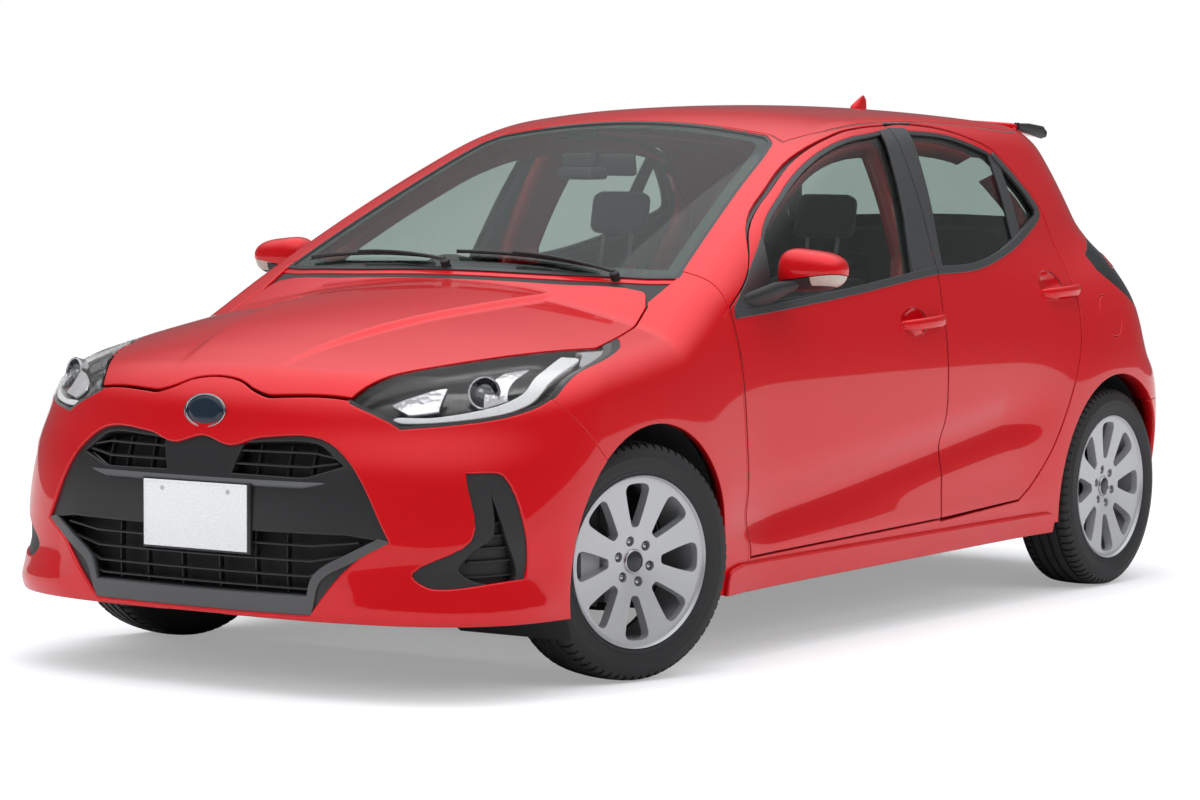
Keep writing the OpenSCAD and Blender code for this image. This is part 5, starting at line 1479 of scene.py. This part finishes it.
# -------------------------------------------------------------- rear seat
# A bench of the same cloth: one long foam cushion on a carpeted box, and a back that splits three ways.
carpet = plastic("carpet", (0.025, 0.025, 0.027), 0.98, 2200, 0.5)
piece("rear_seat_base", rounded_box((-552, 540, 234), (552, 980, 424), 14, 3), [carpet], "root", "seat_cloth",
      sharp=40)
bench = rounded_box((-534, 556, 440), (534, 962, 522), 28, 4)
stuffed("rear_seat_cushion", bench, 18,
        lambda p: (p[:, 2] > 500) * (channel(abs(p[:, 0]) - 175) + channel(p[:, 1] - 700)),
        ["rear_seat"])
bench_back = moved(rounded_box((-498, 24, 34), (498, 84, 456), 26, 4),
                   Matrix.Translation(Vector((0, 990, 455)) * MM)
                   @ Matrix.Rotation(math.radians(-16), 4, "X"))
stuffed("rear_seat_back", bench_back, 16, lambda p: channel(abs(p[:, 0]) - 175) + channel(p[:, 2] - 620))

# -------------------------------------------------------------- dashboard
# A soft moulded top on a hard carrier from pillar to pillar, with an instrument hood, a centre screen and
# four
# vents, and the column shroud reaching back to the steering wheel.
soft_dash = plastic("soft_dash", (0.02, 0.02, 0.022), 0.72, 1200, 0.25)
section = [(-690, 652), (-690, 902), (-640, 912), (-530, 896), (-458, 872), (-446, 850), (-452, 770),
           (-472, 718),
           (-560, 694), (-650, 656)]
board = bmesh.new()
corners = [board.verts.new(Vector((-590, y, z)) * MM) for y, z in section]
face = board.faces.new(corners)
pushed = bmesh.ops.extrude_face_region(board, geom=[face])["geom"]
bmesh.ops.translate(board, vec=(1180 * MM, 0, 0),
                    verts=[v for v in pushed if isinstance(v, bmesh.types.BMVert)])
bmesh.ops.bevel(board, geom=board.edges[:], offset=9 * MM, segments=3, profile=0.5, affect="EDGES",
                material=-1)
bmesh.ops.recalc_face_normals(board, faces=board.faces)
hood = rounded_box((-505, -590, 870), (-215, -452, 918), 16, 4)
stack = rounded_box((-112, -560, 650), (112, -443, 830), 22, 4)
shroud = swept([((-360, -502, 796), 30, 30), ((-360, -374, 858), 30, 30)], 2.8, 28, (1, 0, 0), end=6)
piece("dash_board", joined(board, hood, stack, shroud), [soft_dash], "root", "black_plastic", ["dashboard"],
      sharp=40)
screen_black = plastic("screen_black", (0.008, 0.008, 0.01), 0.08, 300, 0.0)
screens = [rounded_box((-112, -466, 838), (112, -446, 914), 5, 3),
           rounded_box((-470, -450, 826), (-250, -444, 872), 2, 2)]
piece("dash_screens", joined(*screens), [screen_black], "root", "black_plastic", sharp=40)
vents = [rounded_box((x - 46, -448, z - 2), (x + 46, -441, z + 2), 1, 2) for x in (-545, 545)
         for z in range(812, 852, 9)]
vents += [rounded_box((x - 44, -445, z - 2), (x + 44, -441, z + 2), 1, 2) for x in (-56, 56)
          for z in range(790, 826, 9)]
piece("dash_vents", joined(*vents), [grained_black], "root", "black_plastic", sharp=40)

# ---------------------------------------------------------- steering wheel
# A leather rim on three spokes with an airbag pad in the middle, fixed to the column.
leather = plastic("wheel_leather", (0.018, 0.018, 0.019), 0.55, 1500, 0.2)
wheel_way = Matrix.Translation(Vector((-360, -350, 870)) * MM) @ Matrix.Rotation(math.radians(-64), 4, "X")
ring = [(14 * math.cos(t), 165 + 14 * math.sin(t)) for t in np.linspace(0, 2 * math.pi, 21)]
rim = moved(turned(ring, 96), Matrix.Rotation(math.radians(-90), 4, "Y"))
pad = rounded_box((-62, -54, -18), (62, 54, 14), 14, 4)
arms = [swept([((s * 50, -6, -2), 18, 6), ((s * 100, 2, -1), 15, 6), ((s * 160, 6, 0), 14, 6)], 2.8, 20,
              (0, 1, 0), end=2)
        for s in (-1, 1)]
arms.append(swept([((0, -40, -2), 24, 6), ((0, -100, -1), 20, 6), ((0, -160, 0), 20, 6)], 2.8, 20, (1, 0, 0),
                  end=2))
piece("helm_wheel", moved(joined(rim, pad, *arms), wheel_way), [leather], "helm", "black_plastic",
      ["steering_wheel"],
      sharp=45)

# --------------------------------------------------------- interior mirror
# A dipping mirror on a ball stalk from the windscreen, beside the shroud of a forward camera.
glass_at = onto_skin(np.array([[0.0, -250, 1400], [0, -300, 1400], [0, -205, 1400]]))
mirror_body = rounded_box((-124, -216, 1255), (124, -192, 1318), 11, 4)
bmesh.ops.rotate(mirror_body, cent=Vector((0, -204, 1287)) * MM,
                 matrix=Matrix.Rotation(math.radians(8), 3, "X"),
                 verts=mirror_body.verts)
stalk = swept([(tuple(glass_at[0] - np.array([0, 0, 14])), 11, 11), ((0, -226, 1300), 9, 9),
               ((0, -206, 1290), 9, 9)],
              2, 20, (1, 0, 0), end=2)
camera_low = glass_at[1][2] - 74
camera_box = rounded_box((-58, -330, camera_low), (58, -238, camera_low + 34), 12, 4)
piece("interior_mirror", joined(mirror_body, stalk, camera_box), [satin_black], "root", "black_plastic",
      sharp=40)

# --------------------------------------------------------- running gear
# The CAD's own floor, engine, exhaust and suspension, in sound-deadened sheet, cast alloy and painted steel.
underseal = plastic("underseal", (0.02, 0.02, 0.021), 0.85, 400, 0.3)
cast_block = plastic("cast_block", (0.28, 0.28, 0.29), 0.5, 300, 0.3)
steel_tube = plastic("steel_tube", (0.32, 0.31, 0.3), 0.35, 200, 0.1)
for look, names in [(underseal, ["floor_pan", "front_suspension", "rear_axle", "radiator"]),
                    (cast_block, ["engine", "knuckle_front_left", "knuckle_front_right"]),
                    (steel_tube, ["exhaust"])]:
    for name in names:
        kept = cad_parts[name]
        kept.data.materials.clear()
        kept.data.materials.append(look)

bpy.data.meshes.remove(block_data)
